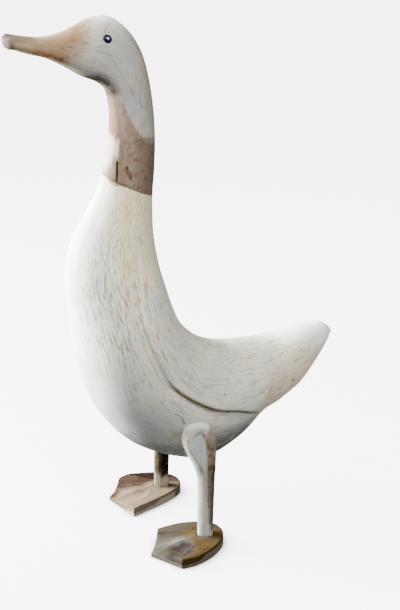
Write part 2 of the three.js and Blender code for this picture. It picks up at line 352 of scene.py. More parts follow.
def finished_object(bm: Mesh, name: str, marks: Sequence[Mark]) -> Piece:
    """Turns a mesh in bench millimetres into an object in the frame, with its marks as attributes.

    Args:
        bm: the mesh, which is used up.
        name: the object's name.
        marks: the marks, whose distances each vertex is given.

    Returns:
        The object, in the scene.
    """
    mesh = bpy.data.meshes.new(name)
    bm.verts.index_update()
    points = positions(bm.verts[:])
    for vert in bm.verts:
        vert.co = to_frame(vert.co)
    bm.to_mesh(mesh)
    bm.free()
    mesh.shade_smooth()
    for mark in marks:
        layer = mesh.attributes.new(mark.name, "FLOAT", "POINT")
        layer.data.foreach_set("value", mark.distances(points).astype(np.float32))
    obj = bpy.data.objects.new(name, mesh)
    bpy.context.scene.collection.objects.link(obj)
    return obj


def hand_over(piece: Piece, node: str, material: bpy.types.Material) -> None:
    """Dresses a finished piece and puts it in the place of its solid.

    Args:
        piece: the finished piece.
        node: the name of its solid.
        material: its finish.
    """
    piece.data.materials.append(material)
    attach(piece, "root")
    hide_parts(node)
    LOG.info("%s: %d faces, finish %s", piece.name, len(piece.data.polygons), material.name)


class Wiring:
    """Adds nodes to a tree and joins them."""

    def __init__(self, tree: bpy.types.NodeTree) -> None:
        """Takes the tree to add to."""
        self.tree = tree

    def node(self, kind: str, **settings: object) -> bpy.types.Node:
        """A new node.

        Args:
            kind: the name of its type.
            settings: its own settings.

        Returns:
            The node.
        """
        made = self.tree.nodes.new(kind)
        for name, value in settings.items():
            setattr(made, name, value)
        return made

    def feed(self, node: bpy.types.Node, values: dict[Union[str, int], Value]) -> bpy.types.Node:
        """Sets or links a node's inputs.

        Args:
            node: the node.
            values: a value or a socket for each input, by name or number.

        Returns:
            The same node.
        """
        for name, value in values.items():
            if isinstance(value, bpy.types.NodeSocket):
                self.tree.links.new(value, node.inputs[name])
            elif isinstance(value, tuple) and node.inputs[name].type == "RGBA":
                node.inputs[name].default_value = (*value, 1.0)
            else:
                node.inputs[name].default_value = value
        return node

    def attribute(self, name: str, output: str) -> Socket:
        """The value of a mesh attribute."""
        return self.node("ShaderNodeAttribute", attribute_name=name).outputs[output]

    def math(self, operation: str, a: Value, b: Value) -> Socket:
        """What an operation makes of two values."""
        node = self.node("ShaderNodeMath", operation=operation)
        return self.feed(node, {0: a, 1: b}).outputs[0]

    def vector(self, operation: str, a: Value, b: Value) -> Socket:
        """What an operation makes of two vectors."""
        node = self.node("ShaderNodeVectorMath", operation=operation)
        return self.feed(node, {0: a, 1: b}).outputs[0]

    def ramp(self, value: Value, low: Value, high: Value, to_low: Value = 0.0,
             to_high: Value = 1.0) -> Socket:
        """A value taken smoothly from one range to another."""
        node = self.node("ShaderNodeMapRange", interpolation_type="SMOOTHSTEP")
        return self.feed(node, {0: value, 1: low, 2: high, 3: to_low, 4: to_high}).outputs[0]

    def mix(self, share: Value, a: Value, b: Value) -> Socket:
        """Two colours mixed by a share."""
        node = self.node("ShaderNodeMix", data_type="RGBA", blend_type="MIX", clamp_factor=True)
        return self.feed(node, {0: share, 6: a, 7: b}).outputs[2]

    def noise(self, vector: Socket, scale: float, detail: float, rough: float) -> Socket:
        """A noise value over a vector."""
        node = self.node("ShaderNodeTexNoise")
        values = {"Vector": vector, "Scale": scale, "Detail": detail, "Roughness": rough}
        return self.feed(node, values).outputs["Fac"]

    def group(self, tree: bpy.types.NodeTree, values: dict[str, Value]) -> bpy.types.Node:
        """A group's node with its inputs fed."""
        return self.feed(self.node("ShaderNodeGroup", node_tree=tree), values)


class Effect:
    """A shader node group that several finishes share.

    Attributes:
        name: the group's name.
        inputs: its inputs, each with its kind of socket.
        outputs: its outputs, each with its kind of socket.
        made: the group, once it is made.
    """

    name = "effect"
    inputs: dict[str, str] = {}
    outputs: dict[str, str] = {}
    made: Optional[bpy.types.NodeTree] = None

    @classmethod
    def tree(cls) -> bpy.types.NodeTree:
        """Makes the group the first time that it is asked for.

        Returns:
            The group.
        """
        if cls.made is None:
            cls.made = bpy.data.node_groups.new(cls.name, "ShaderNodeTree")
            for label, kind in cls.inputs.items():
                cls.made.interface.new_socket(label, in_out="INPUT", socket_type=kind)
            for label, kind in cls.outputs.items():
                cls.made.interface.new_socket(label, in_out="OUTPUT", socket_type=kind)
            wiring = Wiring(cls.made)
            entry = wiring.node("NodeGroupInput")
            wiring.feed(wiring.node("NodeGroupOutput"), cls.wire(wiring, entry.outputs))
        return cls.made

    @classmethod
    def wire(cls, wiring: Wiring, given: Outputs) -> dict[str, Socket]:
        """Makes the group's nodes.

        Args:
            wiring: adds the nodes.
            given: what the group's inputs give.

        Returns:
            What each output gives.
        """
        raise NotImplementedError


class Grain(Effect):
    """Long fibres, streaks and broad clouds that follow the wood.

    Attributes:
        streak_pace: how much slower streaks change than fibres, across and along them.
        streak_shift: moves the streaks off the fibres.
        band_pace: how much slower bands change than fibres.
        cloud_scale: how many clouds there are in a millimetre.
        pore_scale: how much finer pores are than fibres.
    """

    streak_pace = (0.55, 0.55, 0.6)
    streak_shift = (7.3, 1.9, 4.1)
    band_pace = (0.2, 0.2, 0.16)
    cloud_scale = 0.034
    pore_scale = 2.2
    name = "Wood grain"
    inputs = {"Wood": VECTOR, "Width": FLOAT, "Length": FLOAT, "Seed": VECTOR}
    outputs = {"Fibre": FLOAT, "Streak": FLOAT, "Band": FLOAT, "Cloud": FLOAT, "Pore": FLOAT}

    @classmethod
    def wire(cls, wiring: Wiring, given: Outputs) -> dict[str, Socket]:
        """See Effect.wire."""
        across = wiring.math("DIVIDE", 1.0, given["Width"])
        along = wiring.math("DIVIDE", 1.0, given["Length"])
        node = wiring.node("ShaderNodeCombineXYZ")
        pace = wiring.feed(node, {0: across, 1: across, 2: along}).outputs[0]
        stretched = wiring.vector("ADD", wiring.vector("MULTIPLY", given["Wood"], pace), given["Seed"])
        streaked = wiring.vector("MULTIPLY", stretched, cls.streak_pace)
        wide = wiring.vector("MULTIPLY", stretched, cls.band_pace)
        moved = wiring.vector("ADD", given["Wood"], given["Seed"])
        return {
            "Fibre": wiring.noise(stretched, 1.0, 2.0, 0.6),
            "Streak": wiring.noise(wiring.vector("ADD", streaked, cls.streak_shift), 1.0, 2.0, 0.55),
            "Band": wiring.noise(wide, 1.0, 3.0, 0.6),
            "Cloud": wiring.noise(moved, cls.cloud_scale, 3.0, 0.6),
            "Pore": wiring.noise(stretched, cls.pore_scale, 1.0, 0.5),
        }


class Speckle(Effect):
    """Small spots strewn through the wood, some of them run together.

    Attributes:
        pace: how fast the spots change across the wood and along it.
        threshold: the noise at which a spot starts, and that at which it is full.
    """

    pace = (0.55, 0.55, 0.9)
    threshold = (0.52, 0.66)
    name = "Speckle"
    inputs = {"Wood": VECTOR, "Size": FLOAT, "Seed": FLOAT}
    outputs = {"Mask": FLOAT}

    @classmethod
    def wire(cls, wiring: Wiring, given: Outputs) -> dict[str, Socket]:
        """See Effect.wire."""
        paced = wiring.vector("MULTIPLY", given["Wood"], cls.pace)
        scale = wiring.math("DIVIDE", 1.0, given["Size"])
        node = wiring.node("ShaderNodeVectorMath", operation="SCALE")
        shrunk = wiring.feed(node, {0: paced, "Scale": scale}).outputs[0]
        node = wiring.node("ShaderNodeCombineXYZ")
        offset = wiring.feed(node, {0: given["Seed"], 2: given["Seed"]}).outputs[0]
        strewn = wiring.noise(wiring.vector("ADD", shrunk, offset), 1.0, 3.0, 0.65)
        return {"Mask": wiring.ramp(strewn, *cls.threshold)}


class MarkEdge(Effect):
    """A mark's mask, from the distance to its edge, which the grain shifts about.

    Attributes:
        swing: how far the grain's middle stretch shifts the edge, in wobbles.
    """

    swing = 4.0
    name = "Mark edge"
    inputs = {"Distance": FLOAT, "Softness": FLOAT, "Wobble": FLOAT, "Grain": FLOAT}
    outputs = {"Mask": FLOAT}

    @classmethod
    def wire(cls, wiring: Wiring, given: Outputs) -> dict[str, Socket]:
        """See Effect.wire."""
        sway = wiring.math("MULTIPLY", wiring.math("SUBTRACT", given["Grain"], 0.5), given["Wobble"])
        shifted = wiring.math("ADD", given["Distance"], wiring.math("MULTIPLY", sway, cls.swing))
        inner = wiring.math("MULTIPLY", given["Softness"], -1.0)
        return {"Mask": wiring.ramp(shifted, inner, given["Softness"], 1.0, 0.0)}


class Handling(Effect):
    """Dirt held in hollows and wear on ridges, from how the surface bends.

    Attributes:
        hollow: the bend at which dirt starts to be held, and that at which it is full.
        ridge: the same for wear.
    """

    hollow = (0.5, 0.42)
    ridge = (0.51, 0.58)
    name = "Handling"
    inputs = {"Colour": COLOUR, "Dirt": COLOUR, "Worn": COLOUR, "Dirt share": FLOAT, "Worn share": FLOAT}
    outputs = {"Colour": COLOUR}

    @classmethod
    def wire(cls, wiring: Wiring, given: Outputs) -> dict[str, Socket]:
        """See Effect.wire."""
        bend = wiring.node("ShaderNodeNewGeometry").outputs["Pointiness"]
        held = wiring.math("MULTIPLY", wiring.ramp(bend, *cls.hollow), given["Dirt share"])
        rubbed = wiring.math("MULTIPLY", wiring.ramp(bend, *cls.ridge), given["Worn share"])
        dirty = wiring.mix(held, given["Colour"], given["Dirt"])
        return {"Colour": wiring.mix(rubbed, dirty, given["Worn"])}


# How much of the grain takes part: the noise at which each starts to show and that at which it is full.
COOL_CLOUDS = (0.42, 0.62)
GREY_STREAKS = (0.5, 0.68)
BARE_FIBRES = (0.5, 0.68)
BARE_BANDS = (0.38, 0.62)
DARK_PORES = (0.6, 0.72)
STREAK_FIBRES = (0.48, 0.64)
EVEN_FIBRES = (0.3, 0.6)
ROUGH_BANDS = (0.3, 0.7)
# The least share of bare fibres between two bands, and of an even mark between two fibres.
BARE_LEAST = 0.25
EVEN_LEAST = 0.75
# How dark and how raised pores are beside fibres, and how far bands change the roughness.
PORE_DIRT = 0.4
PORE_RELIEF = 0.4
ROUGHNESS_SWAY = 0.08
# How far apart the patterns of two marks' spots lie.
SPOT_SEED_STEP = 5.3


@dataclass(frozen=True)
class WoodFinish:
    """Root wood with a pale wash rubbed into it.

    Attributes:
        name: the material's name.
        wash: the colour of the wash where it is whole.
        cool: the wash's colour in its grey clouds.
        bare: the wood's colour where fibres show.
        grey: the colour of weathered streaks.
        dirt: the colour of grime in hollows.
        showing: how much bare wood the fibres show.
        greying: how strongly the weathered streaks show.
        cloudiness: how strongly the cool clouds show.
        fibre_width: how wide a fibre is.
        fibre_length: how long a fibre is.
        roughness: how matt the surface is.
        gloss: how strongly it shines.
        grime: how much dirt its hollows hold.
        wear: how much of the wash its ridges show.
        relief: how deep the fibres lie.
        seed: a number of the piece's own.
    """

    name: str
    wash: Colour
    cool: Colour
    bare: Colour
    grey: Colour
    dirt: Colour
    showing: float = 0.5
    greying: float = 0.4
    cloudiness: float = 0.5
    fibre_width: float = 1.3
    fibre_length: float = 10.0
    roughness: float = 0.72
    gloss: float = 0.35
    grime: float = 0.7
    wear: float = 0.3
    relief: float = 0.2
    seed: float = 0.0

    def material(self, marks: Sequence[Mark]) -> bpy.types.Material:
        """The finish as a material, with a piece's marks laid into it.

        Args:
            marks: the marks, whose distances the piece has as attributes.

        Returns:
            The new material.
        """
        made = bpy.data.materials.new(self.name)
        made.use_nodes = True
        wiring = Wiring(made.node_tree)
        shader = made.node_tree.nodes["Principled BSDF"]
        wood = wiring.attribute(WOOD, "Vector")
        grain = wiring.group(Grain.tree(), {
            "Wood": wood, "Width": self.fibre_width, "Length": self.fibre_length,
            "Seed": (self.seed, self.seed * 1.7, self.seed * 0.6),
        }).outputs
        colour = self.washed(wiring, grain)
        for number, mark in enumerate(marks):
            mask = wiring.group(MarkEdge.tree(), {
                "Distance": wiring.attribute(mark.name, "Fac"), "Softness": mark.softness,
                "Wobble": mark.wobble, "Grain": grain["Band"],
            }).outputs[0]
            if mark.spread is Spread.STREAKS:
                held = wiring.ramp(grain["Fibre"], *STREAK_FIBRES, 0.0, mark.strength)
            elif mark.spread is Spread.SPOTS:
                spots = wiring.group(Speckle.tree(), {
                    "Wood": wood, "Size": mark.spot_size, "Seed": number * SPOT_SEED_STEP,
                }).outputs[0]
                held = wiring.math("MULTIPLY", spots, mark.strength)
            else:
                held = wiring.ramp(grain["Fibre"], *EVEN_FIBRES, mark.strength * EVEN_LEAST, mark.strength)
            colour = wiring.mix(wiring.math("MULTIPLY", mask, held), colour, mark.colour)
        colour = wiring.group(Handling.tree(), {
            "Colour": colour, "Dirt": self.dirt, "Worn": self.wash, "Dirt share": self.grime,
            "Worn share": self.wear,
        }).outputs[0]
        height = wiring.math("ADD", grain["Fibre"], wiring.math("MULTIPLY", grain["Pore"], PORE_RELIEF))
        bump = wiring.feed(wiring.node("ShaderNodeBump"), {"Distance": self.relief * MM, "Height": height})
        smoothest, roughest = self.roughness - ROUGHNESS_SWAY, self.roughness + ROUGHNESS_SWAY
        wiring.feed(shader, {
            "Base Color": colour,
            "Roughness": wiring.ramp(grain["Band"], *ROUGH_BANDS, smoothest, roughest),
            "Normal": bump.outputs[0],
            "Specular IOR Level": self.gloss,
        })
        return made

    def washed(self, wiring: Wiring, grain: Outputs) -> Socket:
        """The wash over the bare wood, before any mark.

        Args:
            wiring: adds the nodes.
            grain: what the grain's group gives.

        Returns:
            The colour.
        """
        cloud = wiring.ramp(grain["Cloud"], *COOL_CLOUDS, 0.0, self.cloudiness)
        pale = wiring.mix(cloud, self.wash, self.cool)
        streaked = wiring.ramp(grain["Streak"], *GREY_STREAKS, 0.0, self.greying)
        greyed = wiring.mix(streaked, pale, self.grey)
        rubbed = wiring.ramp(grain["Fibre"], *BARE_FIBRES, 0.0, self.showing)
        banded = wiring.ramp(grain["Band"], *BARE_BANDS, BARE_LEAST, 1.0)
        tanned = wiring.mix(wiring.math("MULTIPLY", rubbed, banded), greyed, self.bare)
        pores = wiring.ramp(grain["Pore"], *DARK_PORES, 0.0, self.showing * PORE_DIRT)
        return wiring.mix(pores, tanned, self.dirt)


@dataclass(frozen=True)
class BeadFinish:
    """Black bead gloss with a pale dot in the middle.

    Attributes:
        name: the material's name.
        black: the bead's colour.
        dot: the dot's colour.
        dot_blur: half the width over which one turns into the other.
        bead_roughness: how matt the bead is.
        dot_roughness: how matt the dot is.
        gloss: how strongly both shine.
    """

    name: str = "bead_gloss"
    black: Colour = srgb(10, 10, 24)
    dot: Colour = srgb(140, 148, 160)
    dot_blur: float = 0.15
    bead_roughness: float = 0.3
    dot_roughness: float = 0.6
    gloss: float = 0.06

    def material(self, dot_radius: float) -> bpy.types.Material:
        """The finish as a material, which reads how far the surface is from the bead's axis.

        Args:
            dot_radius: the dot's radius.

        Returns:
            The new material.
        """
        made = bpy.data.materials.new(self.name)
        made.use_nodes = True
        wiring = Wiring(made.node_tree)
        shader = made.node_tree.nodes["Principled BSDF"]
        wood = wiring.attribute(WOOD, "Vector")
        parts = wiring.feed(wiring.node("ShaderNodeSeparateXYZ"), {0: wood}).outputs
        inner, outer = dot_radius - self.dot_blur, dot_radius + self.dot_blur
        dot = wiring.ramp(parts["X"], inner, outer, 1.0, 0.0)
        wiring.feed(shader, {
            "Base Color": wiring.mix(dot, self.black, self.dot),
            "Roughness": wiring.ramp(dot, 0.0, 1.0, self.bead_roughness, self.dot_roughness),
            "Specular IOR Level": self.gloss,
        })
        return made


@dataclass(frozen=True)
class Slice:
    """A slice across the bird, from a point on the back line to one on the belly line.

    Attributes:
        back: the point on the back line, as x and z.
        belly: the point on the belly line.
        half_width: half the slice's width.
        waist: where it is widest, as a share of its depth, up from the belly.
        wing: where the wing's edge crosses it, as a share of its depth.
        step: how proud the wing's edge stands.
        fullness: 1 for an oval slice, less for a squarer one.
    """

    back: Point
    belly: Point
    half_width: float
    waist: float = 0.5
    wing: float = 0.5
    step: float = 0.0
    fullness: float = 1.0


class Station:
    """A slice worked out, ready for its skin to be laid."""

    def __init__(self, cut: Slice, along: float) -> None:
        """Works the slice out.

        Args:
            cut: the slice.
            along: how far along the bird it lies, in millimetres.
        """
        back, belly = Vector(cut.back), Vector(cut.belly)
        self.along = along
        self.middle = belly.lerp(back, cut.waist)
        self.up = (back - belly).normalized()
        self.rise_above = (1 - cut.waist) * (back - belly).length
        self.drop_below = cut.waist * (back - belly).length
        self.half_width = cut.half_width
        self.fullness = cut.fullness
        self.step = max(0.0, cut.step)
        height = cut.wing - cut.waist
        share = height / ((1 - cut.waist) if height > 0 else cut.waist)
        self.edge = math.acos(squared(share, 1 / cut.fullness))
        reach = self.rise_above if height > 0 else self.drop_below
        self.pace = math.hypot(reach * math.sin(self.edge), self.half_width * math.cos(self.edge))
        self.girth = math.sqrt(self.half_width * (back - belly).length / 2)


@dataclass(frozen=True)
class BirdForm:
    """The carved form, as slices from the bill to the tail.

    Attributes:
        slices: the slices.
        bill_bulge: how far the bill's tip stands out past its first slice.
        tail_bulge: how far the tail's tip stands out past its last slice.
        groove: how deep the groove under the wing's edge is, as a share of the step.
        groove_angle: how far round the slice the groove runs.
        lip_radius: how round the wing's edge is.
        lip_share: the most that this may be of the step.
        swell_start: where the wing starts to swell, as a share of the way from the back line to its edge.
        log_radius: the radius of the straightened log in the wood's pattern, for a girth of 1 mm.
        log_growth: the power of the girth by which the log grows.
        measuring_steps: the steps in which the bird's length is measured.
        cap_rows: the rows of faces on a rounded end.
    """

    slices: tuple[Slice, ...]
    bill_bulge: float = 6.0
    tail_bulge: float = 2.5
    groove: float = 0.45
    groove_angle: float = 0.3
    lip_radius: float = 2.4
    lip_share: float = 0.9
    swell_start: float = 0.25
    log_radius: float = 26.5
    log_growth: float = 0.2
    measuring_steps: int = 1200
    cap_rows: int = 12

    def slice_at(self, t: float) -> Slice:
        """The slice at a place between two given ones.

        Args:
            t: the place, counted in slices from the bill.

        Returns:
            The slice there.
        """
        def read(pick: Callable[[Slice], float]) -> float:
            """One of the slices' numbers at t."""
            return smooth_along([pick(cut) for cut in self.slices], t)

        return Slice(
            back=(read(lambda cut: cut.back[0]), read(lambda cut: cut.back[1])),
            belly=(read(lambda cut: cut.belly[0]), read(lambda cut: cut.belly[1])),
            half_width=read(lambda cut: cut.half_width),
            waist=read(lambda cut: cut.waist),
            wing=read(lambda cut: cut.wing),
            step=read(lambda cut: cut.step),
            fullness=read(lambda cut: cut.fullness),
        )

    def stations(self, start: float, end: float, spacing: float) -> list[Station]:
        """Evenly spaced stations along the middle of the bird.

        Args:
            start: where to start, counted in slices from the bill.
            end: where to end.
            spacing: about how far apart they are.

        Returns:
            The stations, from the bill's end on.
        """
        steps = np.linspace(0, len(self.slices) - 1, self.measuring_steps)
        middles = np.array([Station(self.slice_at(t), 0.0).middle for t in steps])
        lengths = np.concatenate(([0.0], np.cumsum(np.linalg.norm(np.diff(middles, axis=0), axis=1))))
        first, last = np.interp((start, end), steps, lengths)
        wanted = np.linspace(first, last, round((last - first) / spacing) + 1)
        places = np.interp(wanted, lengths, steps)
        return [Station(self.slice_at(float(t)), float(along)) for t, along in zip(places, wanted)]

    def lift(self, station: Station, turn: float) -> float:
        """How far the surface stands out from the plain oval, where the wing swells to a lip over a groove.

        Args:
            station: the slice.
            turn: the angle from the back line.

        Returns:
            The lift in millimetres, below nought in the groove.
        """
        if not station.step:
            return 0.0
        past = turn - station.edge
        if past > 0:
            return -self.groove * station.step * (1 - min(1.0, past / self.groove_angle)) ** 2
        swell = station.step * smooth_step(turn / station.edge, self.swell_start, 1.0)
        radius = min(self.lip_radius, self.lip_share * station.step)
        into_lip = min(radius, max(0.0, radius + past * station.pace))
        return swell - radius + math.sqrt(radius * radius - into_lip * into_lip)

    def skin_point(self, station: Station, turn: float, scale: float = 1.0, bulge: float = 0.0) -> Vector:
        """A point of the bird's skin.

        Args:
            station: the slice it lies on.
            turn: the angle from the back line, positive on the bird's right.
            scale: how much the slice is shrunk, in a rounded end.
            bulge: how far the slice is pushed out, in a rounded end.

        Returns:
            The bench point.
        """
        across, along = math.sin(turn), math.cos(turn)
        height = station.rise_above if along > 0 else station.drop_below
        normal = Vector((along / height, across / station.half_width)).normalized()
        lift = self.lift(station, abs(turn))
        rise = scale * (height * squared(along, station.fullness) + lift * normal.x)
        side = scale * (station.half_width * squared(across, station.fullness) + lift * normal.y)
        up = station.up
        return Vector((
            station.middle.x + up.x * rise + up.y * bulge,
            side,
            station.middle.y + up.y * rise - up.x * bulge,
        ))

    def wood_point(self, station: Station, turn: float, bulge: float) -> Vector:
        """The point that a place of the skin has in the straightened log, in millimetres."""
        radius = self.log_radius * station.girth ** self.log_growth
        return Vector((radius * math.cos(turn), radius * math.sin(turn), station.along + bulge))


@dataclass(frozen=True)
class GlueJoint:
    """The slanting joint in the neck.

    Attributes:
        front: its front end on the side view.
        back: its back end on the side view.
        lean: how far the cut also leans down to the bird's left.
        edge: how much its rim is softened.
    """

    front: Point = (-81.0, 367.0)
    back: Point = (-30.5, 346.0)
    lean: float = 0.12
    edge: float = 0.35

    def facing(self) -> Vector:
        """The way up from the joint."""
        tilt = math.atan2(self.front[1] - self.back[1], self.back[0] - self.front[0])
        return Matrix.Rotation(tilt, 3, "Y") @ Matrix.Rotation(self.lean, 3, "X") @ Vector((0, 0, 1))

    def cut(self, bm: Mesh, keep_above: bool) -> None:
        """Saws a mesh off at the joint, closes it and softens the rim.

        Args:
            bm: the mesh.
            keep_above: whether the piece above the joint stays, and not the one below.
        """
        facing = self.facing()
        middle = Vector(((self.front[0] + self.back[0]) / 2, 0, (self.front[1] + self.back[1]) / 2))
        raised = (GLUE_GAP / 2) * (1 if keep_above else -1)
        sawn = bmesh.ops.bisect_plane(
            bm, geom=bm.verts[:] + bm.edges[:] + bm.faces[:], plane_co=middle + facing * raised,
            plane_no=facing, clear_inner=keep_above, clear_outer=not keep_above,
        )
        rim = [item for item in sawn["geom_cut"] if isinstance(item, bmesh.types.BMEdge)]
        bmesh.ops.contextual_create(bm, geom=rim)
        bmesh.ops.bevel(bm, geom=rim, offset=self.edge, segments=2, profile=0.5, affect="EDGES", material=-1,
                        clamp_overlap=True)
        bmesh.ops.recalc_face_normals(bm, faces=bm.faces)
        bm.normal_update()


def bird_piece(form: BirdForm, stations: list[Station], turns: Callable[[Station], list[float]],
               bill_end: bool) -> Mesh:
    """A stretch of the bird with one rounded end and one flat one.

    Args:
        form: the carved form.
        stations: the slices of the stretch, from the bill's end on.
        turns: the angles round one side of a slice, from the back to the belly.
        bill_end: whether the rounded end is the bill's tip, and not the tail's.

    Returns:
        The mesh, in bench millimetres.
    """
    spans = len(stations) - 1
    first = form.cap_rows if bill_end else 1
    last = 1 if bill_end else form.cap_rows
    rows = first + spans + last
    rings = []
    for station in stations:
        half = turns(station)
        rings.append(half + [-turn for turn in reversed(half[1:-1])])

    def place(row: int, column: int) -> tuple[Vector, Vector]:
        """The bench point and wood point of a row and column."""
        index = min(max(row - first, 0), spans)
        station = stations[index]
        turn = rings[index][column]
        past = row - first - index
        if past == 0:
            return form.skin_point(station, turn), form.wood_point(station, turn, 0.0)
        rounded = (past < 0) == bill_end
        cap_turn = past / form.cap_rows * math.pi / 2
        scale = math.cos(cap_turn) if rounded else 0.0
        bulge = math.sin(cap_turn) * (form.bill_bulge if bill_end else form.tail_bulge) if rounded else 0.0
        return form.skin_point(station, turn, scale, bulge), form.wood_point(station, turn, bulge)

    return lofted(rows, len(rings[0]), place)


BILL_SLICES = (
    Slice((-171, 503.5), (-167, 488.5), 13, fullness=0.85),
    Slice((-156, 501), (-152, 484), 16, fullness=0.85),
    Slice((-138, 500), (-134, 479.5), 17, fullness=0.9),
    Slice((-121, 503.5), (-117, 471.5), 18),
)
HEAD_SLICES = (
    Slice((-106, 510), (-102, 463), 20.5),
    Slice((-90, 517.5), (-88, 457.5), 23.5),
    Slice((-72, 518), (-79, 451.5), 25),
    Slice((-54, 505), (-75, 444.5), 25),
    Slice((-41.5, 485.5), (-73.5, 436), 24),
)
NECK_SLICES = (
    Slice((-34.5, 463), (-72.5, 424), 22.5),
    Slice((-30, 436), (-73.5, 407), 22),
    Slice((-28, 406), (-77, 388), 22),
    Slice((-28.5, 376), (-80, 370), 23),
    Slice((-31, 349), (-87, 351), 25.5),
    Slice((-31.5, 322), (-99.5, 328), 31),
)
BODY_SLICES = (
    Slice((-30, 298), (-113.5, 301), 40, wing=0.6, step=0.6),
    Slice((-26, 275), (-119.5, 269), 51, wing=0.59, step=1.6),
    Slice((-20.5, 255), (-117, 236.5), 61, wing=0.565, step=2.2),
    Slice((-14.5, 235), (-113, 203.3), 69, wing=0.553, step=2.6),
    Slice((-6, 217), (-106, 170), 74, wing=0.5635, step=3),
    Slice((6.5, 203.5), (-91.5, 131), 76, wing=0.556, step=3.5),
    Slice((22, 193.5), (-62, 96.6), 76, wing=0.575, step=4),
    Slice((41, 188), (-24.3, 77.2), 74, wing=0.563, step=4.5),
    Slice((60, 187), (11, 70.8), 70, waist=0.52, wing=0.551, step=5),
    Slice((78, 187.5), (40, 84), 64, wing=0.45, step=5),
    Slice((95, 189), (62.5, 106), 54, waist=0.4, wing=0.3, step=4, fullness=0.95),
)
TAIL_SLICES = (
    Slice((112, 192), (90, 127), 45.5, waist=0.25, wing=0.14, step=3, fullness=0.9),
    Slice((128, 196), (116.5, 142.5), 36, waist=0.2, wing=0.08, step=2, fullness=0.9),
    Slice((142, 198.5), (139, 161.2), 25.5, waist=0.25, wing=0.1, step=1, fullness=0.9),
    Slice((154, 199.5), (156, 176.5), 15.5, waist=0.35, wing=0.2),
    Slice((160.5, 195), (163.5, 186.5), 8, wing=0.4),
)
BIRD = BirdForm(BILL_SLICES + HEAD_SLICES + NECK_SLICES + BODY_SLICES + TAIL_SLICES)


